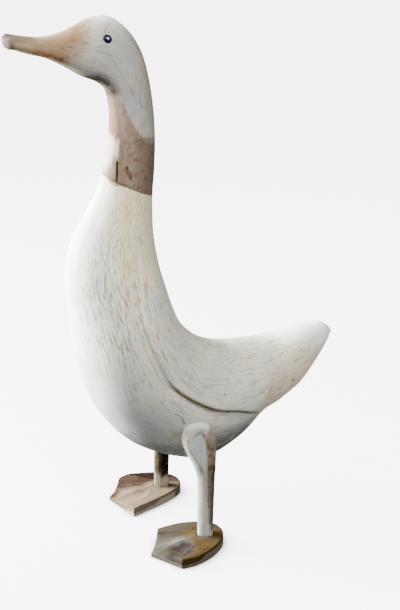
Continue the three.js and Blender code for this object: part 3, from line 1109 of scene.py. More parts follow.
BODY_MARKS = (
    Mark("belly_wash", srgb(206, 210, 204), 0.4, softness=16, wobble=5,
         path=((-96, 190), (-60, 186), (-30, 152), (10, 136), (62, 130), (62, 60), (-110, 60),
               (-110, 150))),
    Mark("cream_shoulder", srgb(228, 209, 156), 0.5, softness=14, wobble=5,
         path=((-90, 372), (-25, 350), (-20, 290), (-45, 262), (-78, 270), (-80, 320))),
    Mark("blue_belly", srgb(190, 203, 212), 0.5, softness=12, wobble=7,
         path=((-124, 210), (-104, 160), (-84, 166), (-62, 146), (-44, 142), (-36, 110), (0, 95), (0, 60),
               (-80, 70), (-130, 150))),
    # Painted shade: a grey patch darkening the middle of the wing, standing for a shadow cast on it.
    Mark("painted_wing_shade", srgb(172, 176, 168), 0.5, softness=12, wobble=5,
         path=((-44, 250), (-22, 216), (8, 192), (60, 165), (60, 134), (14, 138), (-18, 158), (-42, 192))),
    Mark("belly_shade", srgb(56, 60, 58), 0.8, softness=12, wobble=4,
         path=((-66, 112), (-50, 105), (-20, 102), (8, 106), (24, 113), (48, 122), (72, 134), (96, 128),
               (80, 60), (-100, 60), (-84, 104))),
    Mark("warm_tail", srgb(232, 210, 180), 0.55, softness=14, wobble=7,
         path=((60, 120), (80, 170), (120, 180), (158, 184), (175, 170), (130, 110))),
    # Painted highlight: the top of the tail made near white, where light from above and behind falls on it.
    Mark("painted_tail_top_highlight", srgb(247, 249, 251), 0.85, softness=10, wobble=7,
         path=((100, 183), (138, 185), (148, 178), (156, 172), (175, 172), (170, 215), (100, 210))),
    Mark("tail_streaks", srgb(172, 132, 88), 0.55, softness=14, wobble=4, spread=Spread.STREAKS,
         path=((60, 120), (70, 165), (110, 182), (158, 190), (175, 170), (130, 110))),
    Mark("tan_breast", srgb(170, 130, 78), 0.65, softness=7, wobble=4, spread=Spread.STREAKS,
         path=((-79, 352), (-47, 350), (-47, 308), (-58, 266), (-60, 236), (-82, 240), (-82, 277),
               (-80, 320))),
    Mark("grey_breast", srgb(120, 126, 126), 0.75, softness=8, wobble=5, spread=Spread.STREAKS,
         path=((-88, 316), (-105, 297), (-116, 279), (-118, 251), (-112, 205), (-70, 195), (-82, 302))),
    Mark("belly_stains", srgb(160, 140, 122), 0.35, softness=8, wobble=5, spread=Spread.SPOTS, spot_size=8,
         path=((-92, 165), (-70, 182), (-40, 165), (-44, 140), (-76, 138))),
    # The breast's front in a paler, cleaner wash, made near white as a painted highlight of the light from
    # the left.
    Mark("breast_pale_wash_and_highlight", srgb(236, 237, 237), 0.9, softness=8, wobble=6,
         path=((-80, 356), (-89, 332), (-101, 310), (-113, 283), (-116, 250), (-112, 222), (-106, 190),
               (-140, 180), (-140, 356))),
    # Painted highlight: a pale line down the front ridge of the wing, where it catches the light.
    Mark("painted_ridge_highlight", srgb(230, 231, 228), 0.6, half_width=1.0, softness=2.5,
         path=((-56, 300), (-57.5, 275), (-61, 250), (-60, 230))),
    Mark("wing_stain", srgb(138, 96, 64), 0.6, half_width=1.0, softness=1.5, side=Side.LEFT,
         path=((-53.5, 268), (-56, 256))),
    Mark("wing_foot_line", srgb(158, 116, 62), 0.8, half_width=0.6, softness=1.1, wobble=0.9,
         path=((-65, 238), (-65, 225), (-60.6, 206.7), (-55.3, 193.5), (-49.7, 181), (-45, 172),
               (-39.5, 165.5))),
    # Painted shade: a dark line along the bottom of the groove under the wing's edge.
    Mark("painted_groove_shade", srgb(92, 86, 72), 0.6, half_width=0.3, softness=1.1, wobble=0.3,
         path=((-37.6, 170.2), (-26.7, 159.7), (-14.2, 151.0), (-1.3, 143.8), (12.1, 138.2), (25.5, 135.4),
               (37.8, 133.5), (47.9, 131.3))),
    Mark("belly_crack", srgb(132, 104, 62), 0.9, half_width=0.6, softness=0.6, wobble=0.2, side=Side.LEFT,
         path=((-33.3, 140.7), (-30.6, 139.5), (-27.8, 137.7), (-25.8, 135.4), (-24.4, 132.8),
               (-23.3, 130.8))),
    Mark("belly_knot", srgb(148, 108, 50), 0.95, half_width=1.3, softness=0.7, wobble=0.2, side=Side.LEFT,
         path=((-23.0, 129.6),)),
    Mark("worm_hole", srgb(60, 48, 36), 0.9, half_width=0.9, softness=0.4, wobble=0.1, side=Side.LEFT,
         path=((19.5, 153.8),)),
    Mark("breast_dots", srgb(120, 84, 50), 0.8, half_width=0.5, softness=0.7, wobble=0.3, side=Side.LEFT,
         path=((-66.9, 266.6),)),
    Mark("tail_spot", srgb(140, 78, 40), 0.9, half_width=1.5, softness=0.8, wobble=0.4, side=Side.LEFT,
         path=((104.9, 152.4),)),
    Mark("joint_stain", srgb(84, 58, 42), 0.9, softness=0.8, wobble=0.6, side=Side.LEFT,
         path=((-80, 366), (-76, 358.6), (-72, 357.9), (-66, 357.6), (-62, 358), (-66, 366))),
    Mark("belly_scuff", srgb(118, 116, 106), 0.5, half_width=0.5, softness=1.4, side=Side.LEFT,
         path=((-35.5, 122.2), (-24.7, 113.2), (-12.6, 101.8))),
)


@dataclass
class Body:
    """The lower neck, breast, belly, wings and tail, cut from one block.

    Attributes:
        joint: the glue joint at its top.
        start: where its slices start, a little above the joint.
        spacing: how far apart its rows of faces are.
        columns_above: the columns of faces from the back to the wing's lip.
        columns_lip: the columns over the lip, and again in the groove.
        columns_below: the columns from the groove to the belly line.
        lip_reach: how far from the edge the fine columns reach.
        lip_face: how far from the edge the first column on either side of it is.
        finish: the wood's finish.
        marks: the marks in it.
        cuts: the crack in its belly and the pit in its wing.
    """

    joint: GlueJoint
    start: float = 11.8
    spacing: float = 1.9
    columns_above: int = 62
    columns_lip: int = 8
    columns_below: int = 62
    lip_reach: float = 3.6
    lip_face: float = 0.12
    finish: WoodFinish = WoodFinish(
        "whitewashed_root", wash=srgb(221, 217, 193), cool=srgb(194, 202, 199), bare=srgb(162, 130, 84),
        grey=srgb(136, 144, 146), dirt=srgb(106, 86, 60), showing=0.8, greying=0.6, cloudiness=0.6,
        fibre_width=1.6, grime=0.35, seed=3.0,
    )
    marks: tuple[Mark, ...] = BODY_MARKS
    cuts: tuple[Cut, ...] = (
        Cut(((-33.3, 140.7), (-27.8, 137.7), (-24.4, 132.8), (-23.3, 130.8)), half_width=0.5, depth=0.6),
        Cut(((19.5, 153.8),), half_width=0.8, depth=2.2),
    )

    def turns(self, station: Station) -> list[float]:
        """The angles round one side, closest together at the wing's edge.

        Args:
            station: the slice they are for.

        Returns:
            The angles, from the back line to the belly line.
        """
        reach = self.lip_reach / station.pace
        closing = [(1 - i / self.columns_lip) ** 2 for i in range(self.columns_lip)]
        face = self.lip_face / station.pace
        upper = [(station.edge - reach) * i / self.columns_above for i in range(self.columns_above)]
        lip = [station.edge - face - (reach - face) * share for share in closing]
        groove = [station.edge + face + (reach - face) * share for share in reversed(closing)]
        start = station.edge + reach
        left = math.pi - start
        lower = [start + left * i / self.columns_below for i in range(1, self.columns_below + 1)]
        return upper + lip + [station.edge - face, station.edge + face] + groove + lower

    def build(self) -> Piece:
        """Carves the body.

        Returns:
            The piece.
        """
        stations = BIRD.stations(self.start, len(BIRD.slices) - 1, self.spacing)
        bm = bird_piece(BIRD, stations, self.turns, bill_end=False)
        roughen(bm, depth=0.35, size=34, seed=3.0)
        self.joint.cut(bm, keep_above=False)
        carve(bm, self.cuts)
        return finished_object(bm, "carved_body", self.marks)

    def dress(self, piece: Piece) -> None:
        """Gives the body its finish and its place."""
        hand_over(piece, "body", self.finish.material(self.marks))


HEAD_MARKS = (
    Mark("tan_nape", srgb(146, 124, 90), 0.5, half_width=5, softness=8, wobble=3,
         path=((-45, 495), (-36, 468), (-30, 436), (-27, 404))),
    # Painted sheen: the crown made pale blue-white, where light from above shines on it.
    Mark("painted_crown_sheen", srgb(232, 236, 242), 0.95, half_width=5, softness=8, wobble=3,
         path=((-98, 517), (-80, 521), (-62, 514))),
    Mark("grey_cheek", srgb(140, 141, 136), 0.55, softness=8, wobble=3,
         path=((-78, 502), (-60, 498), (-52, 480), (-60, 468), (-74, 474), (-82, 488))),
    Mark("tan_face", srgb(140, 118, 90), 0.6, softness=6, wobble=4,
         path=((-98, 514), (-94, 500), (-98, 488), (-106, 477), (-122, 473), (-124, 492), (-112, 506))),
    Mark("lilac_cheek", srgb(140, 138, 152), 0.5, softness=3, wobble=2,
         path=((-65, 459), (-60.5, 451), (-56, 443), (-51, 434), (-46, 424), (-54, 420), (-62, 434),
               (-66, 446))),
    Mark("tan_bill", srgb(120, 90, 58), 0.92, softness=6, wobble=4,
         path=((-86.8, 518), (-93.4, 511.4), (-100.8, 503.5), (-104.9, 494.3), (-112.8, 489.7),
               (-118.7, 484), (-121.9, 478.4), (-125, 460), (-190, 465), (-190, 535), (-86, 535))),
    # The bill's lower flank in a paler tan, also painted light where the surface turns down away from the
    # lamps.
    Mark("bill_flank_painted_light", srgb(152, 122, 96), 0.75, softness=5, wobble=3,
         path=((-154, 492), (-128, 490), (-114, 484), (-122, 474), (-140, 476), (-154, 481))),
    Mark("bill_reds", srgb(96, 52, 34), 0.7, softness=4, wobble=3, spread=Spread.STREAKS,
         path=((-150, 492), (-128, 492), (-102, 506), (-94, 510), (-98, 490), (-118, 476), (-140, 477))),
    Mark("bill_ridge", srgb(168, 158, 146), 0.3, half_width=1.0, softness=2.5, wobble=2,
         path=((-166, 502), (-150, 500), (-132, 500), (-112, 506))),
    Mark("brown_neck", srgb(126, 106, 86), 0.94, softness=1.4, wobble=1.3,
         path=((-73.7, 450.1), (-67.9, 442.7), (-63.2, 433.4), (-58.5, 423.2), (-52.7, 412.9), (-46.3, 404),
               (-42, 398), (-15, 392), (-15, 325), (-98, 345), (-98, 452))),
    Mark("brown_nape", srgb(124, 106, 86), 0.85, softness=5, wobble=2.5,
         path=((-50, 405), (-44, 402), (-30, 400), (-15, 402), (-15, 325), (-50, 345))),
    Mark("dark_neck", srgb(96, 84, 74), 0.65, softness=6, wobble=5,
         path=((-52, 404), (-20, 396), (-15, 330), (-60, 345), (-52, 372))),
    Mark("neck_specks", srgb(72, 58, 48), 0.5, softness=3, wobble=3, spread=Spread.SPOTS, spot_size=5,
         path=((-72, 440), (-60, 424), (-44, 400), (-20, 398), (-15, 330), (-78, 345), (-72, 380))),
    Mark("neck_reds", srgb(108, 78, 58), 0.5, softness=3, wobble=3, spread=Spread.SPOTS, spot_size=10,
         path=((-72, 446), (-60, 424), (-44, 400), (-20, 398), (-15, 330), (-78, 345), (-72, 380))),
    Mark("dark_front", srgb(80, 62, 48), 0.6, softness=4, wobble=3,
         path=((-80, 408), (-66, 410), (-64, 400), (-64, 345), (-84, 350), (-76, 375))),
    Mark("pink_front", srgb(90, 66, 58), 0.85, softness=2.5, wobble=1.5,
         path=((-78, 447), (-72.5, 447), (-70, 441), (-66.5, 424), (-65.5, 408), (-69, 398), (-78, 398))),
    # The pale wood at the front of the neck, made whiter as a painted highlight of the light from the left.
    Mark("pale_front_and_highlight", srgb(196, 184, 176), 0.8, softness=2.8, wobble=3,
         path=((-100, 412), (-75, 410), (-70, 400), (-70, 388), (-72.5, 384), (-77, 376), (-84, 368),
               (-110, 366))),
    # A dark olive-brown line along the lower edge of the bill and jaw, partly its colour and partly painted
    # shade under the bill.
    Mark("jaw_line_and_shade", srgb(24, 20, 8), 0.95, half_width=1.6, softness=1.6, wobble=0.6,
         path=((-166, 486.5), (-152, 482.5), (-134, 478), (-117, 470), (-102, 462), (-90, 458))),
    Mark("throat_shade", srgb(30, 22, 12), 1.0, half_width=4.2, softness=4.4, wobble=1.5,
         path=((-98, 459), (-88, 460), (-81, 457), (-75.5, 453), (-72.4, 448))),
    Mark("tip_top", srgb(84, 74, 55), 0.8, softness=3, wobble=2,
         path=((-172, 510), (-150, 510), (-148, 497), (-172, 496))),
    Mark("tip_flank", srgb(152, 132, 112), 0.8, softness=3, wobble=2,
         path=((-168, 495), (-150, 493), (-148, 480), (-168, 480))),
    # Painted shade: the rounded rim of the bill's tip darkened, grading to the grey of its flank.
    Mark("tip_rim_shade", srgb(102, 97, 86), 0.8, softness=1.6, wobble=0.8,
         path=((-174, 500), (-174, 480), (-168, 480), (-165.5, 500))),
    Mark("tip_flat", srgb(54, 53, 51), 0.9, softness=1.2, wobble=0.6,
         path=((-190, 502), (-190, 480), (-172, 480), (-172.6, 502))),
    Mark("bill_tip", srgb(40, 26, 21), 0.95, softness=1.4, wobble=0.5,
         path=((-190, 515), (-190, 498.5), (-173.5, 499), (-170, 502), (-168.5, 515))),
    Mark("growth_line", srgb(92, 78, 70), 0.7, half_width=0.4, softness=0.7, wobble=0.4,
         path=((-74.2, 512.1), (-80.5, 506.9), (-82.1, 505.6), (-80, 485.3), (-73.8, 475.2), (-69.3, 467.5),
               (-63.3, 459.4), (-56.1, 447), (-50.7, 438.3), (-43, 431))),
    Mark("jaw_spot", srgb(84, 54, 34), 0.85, half_width=1.8, softness=1.6, wobble=0.8, side=Side.LEFT,
         path=((-122.4, 479.5),)),
    Mark("brow_mark", srgb(128, 84, 58), 0.7, half_width=0.4, softness=0.8, wobble=0.4, side=Side.LEFT,
         path=((-117.5, 502.5), (-119, 497.3))),
    Mark("neck_streak", srgb(82, 60, 50), 0.75, half_width=0.5, softness=1.0, wobble=0.8, side=Side.LEFT,
         path=((-59.7, 397.6), (-52, 401.5), (-45.3, 403), (-34, 401))),
    Mark("neck_knot", srgb(84, 56, 42), 0.7, half_width=1.6, softness=1.4, side=Side.LEFT,
         path=((-54, 383),)),
    Mark("pit_stain", srgb(66, 40, 26), 0.85, half_width=1.8, softness=1.6, wobble=1.5, side=Side.LEFT,
         path=((-62.2, 374.5), (-60, 366))),
    Mark("slit_stain", srgb(28, 20, 18), 0.97, half_width=0.9, softness=0.6, wobble=0.2, side=Side.LEFT,
         path=((-70.4, 381), (-71, 371.5), (-72.3, 361))),
    Mark("slit_foot", srgb(72, 44, 34), 0.75, half_width=1.0, softness=1.4, side=Side.LEFT,
         path=((-75, 364), (-70, 359.5), (-63, 359))),
)


@dataclass
class Head:
    """The bill, head and upper neck, cut from a second block.

    Attributes:
        joint: the glue joint at its foot.
        end: where its slices end, a little below the joint.
        spacing: how far apart its rows of faces are.
        columns: the columns of faces on one side.
        seat_radius: the radius of the seat cut for an eye.
        seat_depth: how deep the seat is.
        seat_wall: how wide the step down into it is.
        seat_rim: how far the rim is rounded about it.
        rim_drop: how far the rim sinks.
        finish: the wood's finish.
        marks: the marks in it.
        cuts: the slit and the pit in its neck.
    """

    joint: GlueJoint
    end: float = 13.7
    spacing: float = 1.2
    columns: int = 68
    seat_radius: float = 4.1
    seat_depth: float = 3.0
    seat_wall: float = 0.5
    seat_rim: float = 0.6
    rim_drop: float = 0.15
    finish: WoodFinish = WoodFinish(
        "bare_root", wash=srgb(168, 164, 150), cool=srgb(146, 151, 156), bare=srgb(126, 102, 74),
        grey=srgb(104, 106, 110), dirt=srgb(72, 56, 40), showing=0.6, greying=0.55, cloudiness=0.6,
        fibre_width=1.1, roughness=0.6, gloss=0.02, wear=0.0, seed=11.0,
    )
    marks: tuple[Mark, ...] = HEAD_MARKS
    cuts: tuple[Cut, ...] = (
        Cut(((-70.4, 380), (-71, 371.5), (-72, 364)), half_width=0.8, depth=2.4),
        Cut(((-62.2, 375),), half_width=1.6, depth=1.3),
    )

    def turns(self, _station: Station) -> list[float]:
        """The angles round one side."""
        return [math.pi * i / self.columns for i in range(self.columns + 1)]

    def build(self, eyes: Sequence["Eye"]) -> Piece:
        """Carves the head, finds how each eye faces and cuts its seat.

        Args:
            eyes: the two eyes, which are told how they face.

        Returns:
            The piece.
        """
        stations = BIRD.stations(0.0, self.end, self.spacing)
        bm = bird_piece(BIRD, stations, self.turns, bill_end=True)
        roughen(bm, depth=0.25, size=26, seed=8.0)
        self.joint.cut(bm, keep_above=True)
        carve(bm, self.cuts)
        skin = BVHTree.FromBMesh(bm)
        for eye in eyes:
            eye.facing = skin.find_nearest(eye.seat)[1]
            self.cut_seat(bm, eye)
        return finished_object(bm, "carved_head", self.marks)

    def cut_seat(self, bm: Mesh, eye: "Eye") -> None:
        """Sinks the round seat of an eye into the cheek.

        Args:
            bm: the head's mesh.
            eye: the eye.
        """
        margin = 0.8
        longest_edge = 0.4

        def from_axis(points: np.ndarray) -> np.ndarray:
            """How far points near the eye lie from its axis."""
            away = points - np.array(eye.seat)
            depth = away @ np.array(eye.facing)
            off = np.linalg.norm(away - depth[:, None] * np.array(eye.facing), axis=1)
            return np.where(np.abs(depth) < self.seat_radius * 2, off, np.inf)

        verts = refine(bm, from_axis, self.seat_radius + margin, longest_edge)
        for vert, off in zip(verts, from_axis(positions(verts))):
            sunk = smooth_step(off, self.seat_radius, self.seat_radius - self.seat_wall)
            rounded = smooth_step(off, self.seat_radius + self.seat_rim, self.seat_radius)
            vert.co -= eye.facing * (self.seat_depth * sunk + self.rim_drop * rounded)
        bm.normal_update()

    def dress(self, piece: Piece) -> None:
        """Gives the head its finish and its place."""
        hand_over(piece, "head", self.finish.material(self.marks))


@dataclass
class Eye:
    """A black bead with a raised pale dot.

    Attributes:
        side: the side of the head.
        radius: the bead's radius.
        thickness: its thickness.
        dot_radius: the dot's radius.
        dot_rise: how far the dot stands out.
        columns: the faces round it.
        finish: its finish.
        seat: its middle, on the bench.
        facing: the way its dot faces, which the head finds.
    """

    side: Side
    radius: float = 3.8
    thickness: float = 4.4
    dot_radius: float = 1.35
    dot_rise: float = 0.35
    columns: int = 64
    finish: BeadFinish = BeadFinish()
    seat: Vector = field(init=False)
    facing: Vector = field(init=False)

    def __post_init__(self) -> None:
        """Finds the bead's middle from its solid."""
        low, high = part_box(self.node)
        self.seat = to_bench((low + high) / 2)
        self.facing = Vector((0, self.side.value, 0))

    @property
    def node(self) -> str:
        """The name of the bead's solid."""
        return f"{self.side.name.lower()}_eye"

    def outline(self) -> list[Point]:
        """The bead's outline.

        Returns:
            Its points from the back to the front, as radius and height.
        """
        quarter = math.pi / 2
        bead_steps, dot_steps = 12, 6
        half = self.thickness / 2
        rim = math.asin(self.dot_radius / self.radius)
        back = [(self.radius * math.sin(turn), -half * math.cos(turn))
                for turn in np.linspace(0, quarter, bead_steps)]
        front = [(self.radius * math.cos(turn), half * math.sin(turn))
                 for turn in np.linspace(0, quarter - rim, bead_steps)[1:]]
        top = front[-1][1]
        dot = [(self.dot_radius * math.cos(turn), top + self.dot_rise * math.sin(turn))
               for turn in np.linspace(0, quarter, dot_steps)[1:]]
        return back + front + dot

    def build(self) -> Piece:
        """Turns the bead and lays it into its seat.

        Returns:
            The piece.
        """
        bm = bmesh.new()
        wood = bm.verts.layers.float_vector.new(WOOD)
        verts = [bm.verts.new((radius, 0, height)) for radius, height in self.outline()]
        edges = [bm.edges.new(pair) for pair in zip(verts, verts[1:])]
        bmesh.ops.spin(bm, geom=verts + edges, cent=(0, 0, 0), axis=(0, 0, 1), angle=math.tau,
                       steps=self.columns, use_merge=True)
        bmesh.ops.remove_doubles(bm, verts=bm.verts, dist=0.001)
        for vert in bm.verts:
            vert[wood] = Vector((math.hypot(vert.co.x, vert.co.y), 0, vert.co.z))
        turn = self.facing.to_track_quat("Z", "Y").to_matrix().to_4x4()
        bmesh.ops.transform(bm, matrix=Matrix.Translation(self.seat) @ turn, verts=bm.verts)
        bmesh.ops.recalc_face_normals(bm, faces=bm.faces)
        return finished_object(bm, f"{self.side.name.lower()}_bead", ())

    def dress(self, piece: Piece) -> None:
        """Gives the bead its finish and its place."""
        hand_over(piece, self.node, self.finish.material(self.dot_radius))


@dataclass(frozen=True)
class LegSlice:
    """A slice across a leg.

    Attributes:
        height: how high it lies.
        front: its front edge.
        back: its back edge.
        half_thick: half its thickness.
        out: how far it lies outwards from the leg's axis.
    """

    height: float
    front: float
    back: float
    half_thick: float
    out: float


@dataclass(frozen=True)
class Whittled:
    """A flat whittled down a leg, shallow at the shin and deep at the thigh.

    Attributes:
        facing: the way it faces, along the bird and outwards.
        shin: how far from the leg's axis it lies at the shin.
        thigh: how far from the axis it lies at the thigh.
        shin_top: the height up to which it lies as at the shin.
        thigh_foot: the height from which it lies as at the thigh.
    """

    facing: Point
    shin: float
    thigh: float
    shin_top: float = 48.0
    thigh_foot: float = 96.0

    def depth(self, height: float) -> float:
        """How far from the axis the flat lies at a height."""
        return self.shin + (self.thigh - self.shin) * smooth_step(height, self.shin_top, self.thigh_foot)


@dataclass
class Leg:
    """A drumstick and shin from one stick, its inner face fitted to the body.

    Attributes:
        side: the side of the bird.
        finish: the wood's finish.
        marks: the marks in it.
        slices: the slices, from the foot up.
        spacing: how far apart the legs' axes are.
        top_bulge: how far the top stands above its last slice.
        flats: the flats whittled down its outside.
        columns: the columns of faces.
        row_height: the height of a row of faces.
        cap_rows: the rows of faces over the top.
    """

    side: Side
    finish: WoodFinish
    marks: tuple[Mark, ...]
    slices: tuple[LegSlice, ...] = (
        LegSlice(3, -8.2, 7.2, 7.4, 0),
        LegSlice(35, -8, 8.4, 7.8, 0),
        LegSlice(60, -7.8, 9.3, 8.4, 0),
        LegSlice(74, -9.2, 9.7, 10, 0.5),
        LegSlice(87, -14.2, 10, 12.5, 1),
        LegSlice(99, -20.5, 10.3, 14.5, 1.5),
        LegSlice(110, -24.5, 9.8, 15.5, 1.5),
        LegSlice(120, -23.8, 6, 14, 0),
    )
    spacing: float = LEG_SPACING
    top_bulge: float = 9.5
    flats: tuple[Whittled, ...] = (
        Whittled((-0.12, 0.993), shin=7.3, thigh=12.3),
        Whittled((0.5, 0.866), shin=7.4, thigh=9.4),
    )
    columns: int = 96
    row_height: float = 1.1
    cap_rows: int = 14

    @property
    def node(self) -> str:
        """The name of the leg's solid."""
        return f"{self.side.name.lower()}_leg"

    def surface(self, row: int, column: int, spans: int) -> tuple[Vector, Vector]:
        """A point of the leg's skin, outwards being away from the body.

        Args:
            row: the row, counted from the foot.
            column: the column.
            spans: the rows of faces below the rounded top.

        Returns:
            The bench point and the wood point.
        """
        t = min(max(row - 1, 0), spans) / spans * (len(self.slices) - 1)
        height, front, back, half_thick, out = (
            smooth_along([getattr(cut, name) for cut in self.slices], t)
            for name in ("height", "front", "back", "half_thick", "out")
        )
        cap_turn = max(0, row - 1 - spans) / self.cap_rows * math.pi / 2
        scale = 0.0 if row == 0 else math.cos(cap_turn)
        turn = column / self.columns * math.tau
        along = (front + back) / 2 + scale * math.cos(turn) * (back - front) / 2
        outwards = out + scale * math.sin(turn) * half_thick
        up = height + math.sin(cap_turn) * self.top_bulge
        for flat in self.flats:
            over = along * flat.facing[0] + outwards * flat.facing[1] - flat.depth(up)
            if over > 0:
                along -= over * flat.facing[0]
                outwards -= over * flat.facing[1]
        y = self.side.value * (self.spacing / 2 + outwards)
        return Vector((along, y, up)), Vector((along, outwards, up))

    def build(self, body: Piece) -> Piece:
        """Whittles the leg and fits it to the body.

        Args:
            body: the finished body.

        Returns:
            The piece.
        """
        spans = round((self.slices[-1].height - self.slices[0].height) / self.row_height)
        rows = 1 + spans + self.cap_rows
        bm = lofted(rows, self.columns, lambda row, column: self.surface(row, column, spans))
        roughen(bm, depth=0.2, size=14, seed=5.0 + self.side.value)
        self.fit(bm, body)
        return finished_object(bm, f"{self.side.name.lower()}_stick_leg", self.marks)

    def fit(self, bm: Mesh, body: Piece) -> None:
        """Pushes what would lie inside the body out sideways until it only touches the glue.

        Args:
            bm: the leg's mesh.
            body: the finished body.
        """
        well_outside = 0.3
        skin = BVHTree.FromObject(body, bpy.context.evaluated_depsgraph_get())
        inwards = Vector((0, -self.side.value, 0))
        for vert in bm.verts:
            start = to_frame(vert.co)
            start.y = well_outside * self.side.value
            found = skin.ray_cast(start, inwards)[0]
            if found is not None:
                limit = to_bench(found).y * self.side.value + GLUE_GAP
                vert.co.y = self.side.value * max(limit, vert.co.y * self.side.value)
        bm.normal_update()

    def dress(self, piece: Piece) -> None:
        """Gives the leg its finish and its place."""
        hand_over(piece, self.node, self.finish.material(self.marks))


LEFT_LEG_MARKS = (
    Mark("warm_rim", srgb(216, 212, 198), 0.7, wobble=1.5,
         path=((-26, 120), (-24, 100), (-19, 104), (-17, 116), (-10, 121), (-4, 118), (2, 108), (10, 112),
               (10, 136), (-26, 136))),
    Mark("rim_pinks", srgb(172, 130, 104), 0.6, wobble=1.5, spread=Spread.SPOTS, spot_size=6,
         path=((-26, 120), (-24, 106), (-19, 104), (-17, 116), (-10, 121), (-4, 118), (0, 136),
               (-26, 136))),
    Mark("tan_thigh", srgb(142, 118, 90), 0.8, softness=2.5, wobble=1.5,
         path=((-4, 119), (-1.5, 104), (-2.5, 84), (30, 84), (30, 124), (2, 125))),
    Mark("strip_top", srgb(112, 88, 64), 0.6, softness=6, wobble=2,
         path=((-0.5, 110), (-1, 82), (30, 78), (30, 104))),
    # The brown streak down the back of the leg, partly the wood's colour and partly painted shade on the
    # side turned from the light.
    Mark("brown_strip_and_shade", srgb(96, 74, 52), 0.85, softness=2.2, wobble=1.2,
         path=((-1.6, 86), (-2.2, 78), (-1.6, 60), (-1.0, 42), (0.6, 22), (30, 18), (30, 82))),
    # Painted shade: the back edge of the leg darkened, where it turns away from the light.
    Mark("strip_edge_shade", srgb(64, 46, 32), 0.8, path=((4.5, 84), (3.6, 44), (2.6, 14), (30, 10), (30, 80))),
    Mark("strip_foot", srgb(110, 96, 78), 0.3, softness=8, wobble=3,
         path=((2, 52), (30, 56), (30, 24), (4, 26))),
    Mark("red_knots", srgb(122, 74, 50), 0.85, half_width=1.5, softness=1.5,
         path=((-5.5, 118), (-3.2, 112), (-1.5, 104))),
    Mark("strip_spots", srgb(74, 44, 26), 0.65, softness=1.5, spread=Spread.SPOTS, spot_size=6,
         path=((0, 112), (10, 112), (10, 40), (-2, 40))),
    # Painted shade: the whittled flat made blue-grey, as it faces forward and not towards the light from the
    # left.
    Mark("painted_flat_shade", srgb(180, 188, 190), 0.5, softness=1.5, wobble=1.2,
         path=((-18, 114), (-14.5, 118), (-9, 120), (-4.5, 116), (-3, 80), (-4, 50), (-9, 70), (-14, 92),
               (-19, 104))),
    # Painted shade: a dark curve along the top of the flat, under the rounded thigh.
    Mark("flat_arch_shade", srgb(96, 88, 94), 0.7, half_width=1.0, softness=1.6,
         path=((-15, 118), (-11, 120.5), (-7.5, 120.5), (-5, 117))),
    # Painted shade: the front edge of the shin darkened against the strong light from behind on the left.
    Mark("front_edge_shade", srgb(136, 134, 126), 0.8, softness=0.8, wobble=0.4,
         path=((-7, 84), (-6.6, 60), (-6.6, 8), (-14, 8), (-14, 84))),
    Mark("base_ring", srgb(36, 26, 18), 0.9, half_width=0.7, softness=0.7, wobble=0.2,
         path=((-12, 10.6), (12, 10.6))),
)


def left_leg() -> Leg:
    """The near leg: pale grey, with a brown strip down its back that is partly painted shade, and a paler
    rim round its flat.
    """
    return Leg(
        Side.LEFT,
        WoodFinish(
            "grey_stick", wash=srgb(200, 197, 182), cool=srgb(190, 198, 200), bare=srgb(142, 120, 94),
            grey=srgb(126, 130, 134), dirt=srgb(66, 50, 36), showing=0.5, greying=0.5, cloudiness=0.6,
            fibre_length=14, gloss=0.2, seed=21.0,
        ),
        LEFT_LEG_MARKS,
    )


RIGHT_LEG_MARKS = (
    # Painted shade: the front edge of the shin darkened against the strong light from behind on the left.
    Mark("front_edge_shade", srgb(88, 76, 58), 0.85, softness=1.4, wobble=0.4,
         path=((-5.6, 40), (-5.6, 8), (-14, 8), (-14, 40))),
    # The shin's dark brown, partly the wood's colour and partly painted shadow from the body above.
    Mark("brown_shin_and_shadow", srgb(46, 29, 12), 0.96, softness=4, wobble=2,
         path=((-30, 140), (30, 140), (30, 21), (-2, 22), (-8, 27), (-30, 30))),
    # Painted shadow: the back of the shin near black, as in the body's shadow.
    Mark("painted_shadow_back", srgb(16, 10, 5), 0.96, softness=3, wobble=1.5,
         path=((-4.5, 140), (30, 140), (30, 22), (0, 24), (-2.5, 32))),
    Mark("base_ring", srgb(36, 26, 18), 0.9, half_width=0.7, softness=0.7, wobble=0.2,
         path=((-12, 10.6), (12, 10.6))),
)


def right_leg() -> Leg:
    """The far leg: brown and painted with the body's shadow above, paler towards the foot."""
    return Leg(
        Side.RIGHT,
        WoodFinish(
            "brown_stick", wash=srgb(186, 172, 144), cool=srgb(172, 164, 144), bare=srgb(142, 116, 82),
            grey=srgb(140, 132, 116), dirt=srgb(66, 48, 32), showing=0.5, greying=0.4, fibre_length=12,
            gloss=0.05, wear=0.0, seed=22.0,
        ),
        RIGHT_LEG_MARKS,
    )


@dataclass(frozen=True)
class FootOutline:
    """A foot's outline about its leg's axis: three toes, a control point for each web, and the sole's edge.

    Attributes:
        outer: the outer toe's tip.
        middle: the middle toe's tip.
        inner: the inner toe's tip.
        outer_web: the point that draws in the web between the outer and middle toes.
        inner_web: the same between the middle and inner toes.
        sole: points round the heel, from the inner toe to the outer.
    """

    outer: Point
    middle: Point
    inner: Point
    outer_web: Point
    inner_web: Point
    sole: tuple[Point, ...]

    def points(self, sole_steps: int, web_steps: int) -> list[Point]:
        """The outline from the inner toe round the heel and over the other toes.

        Args:
            sole_steps: the points round the heel.
            web_steps: the points along each web.

        Returns:
            The points, without the last one, which is the first again.
        """
        knots = (self.inner, *self.sole, self.outer)
        spans = len(knots) - 1
        made = [(smooth_along([k[0] for k in knots], t), smooth_along([k[1] for k in knots], t))
                for t in np.linspace(0, spans, sole_steps, endpoint=False)]
        outer_edge = (self.outer, self.outer_web, self.middle)
        inner_edge = (self.middle, self.inner_web, self.inner)
        for start, pull, end in (outer_edge, inner_edge):
            for f in np.linspace(0, 1, web_steps, endpoint=False):
                made.append(tuple(
                    (1 - f) ** 2 * start[i] + 2 * f * (1 - f) * pull[i] + f * f * end[i] for i in (0, 1)
                ))
        return made


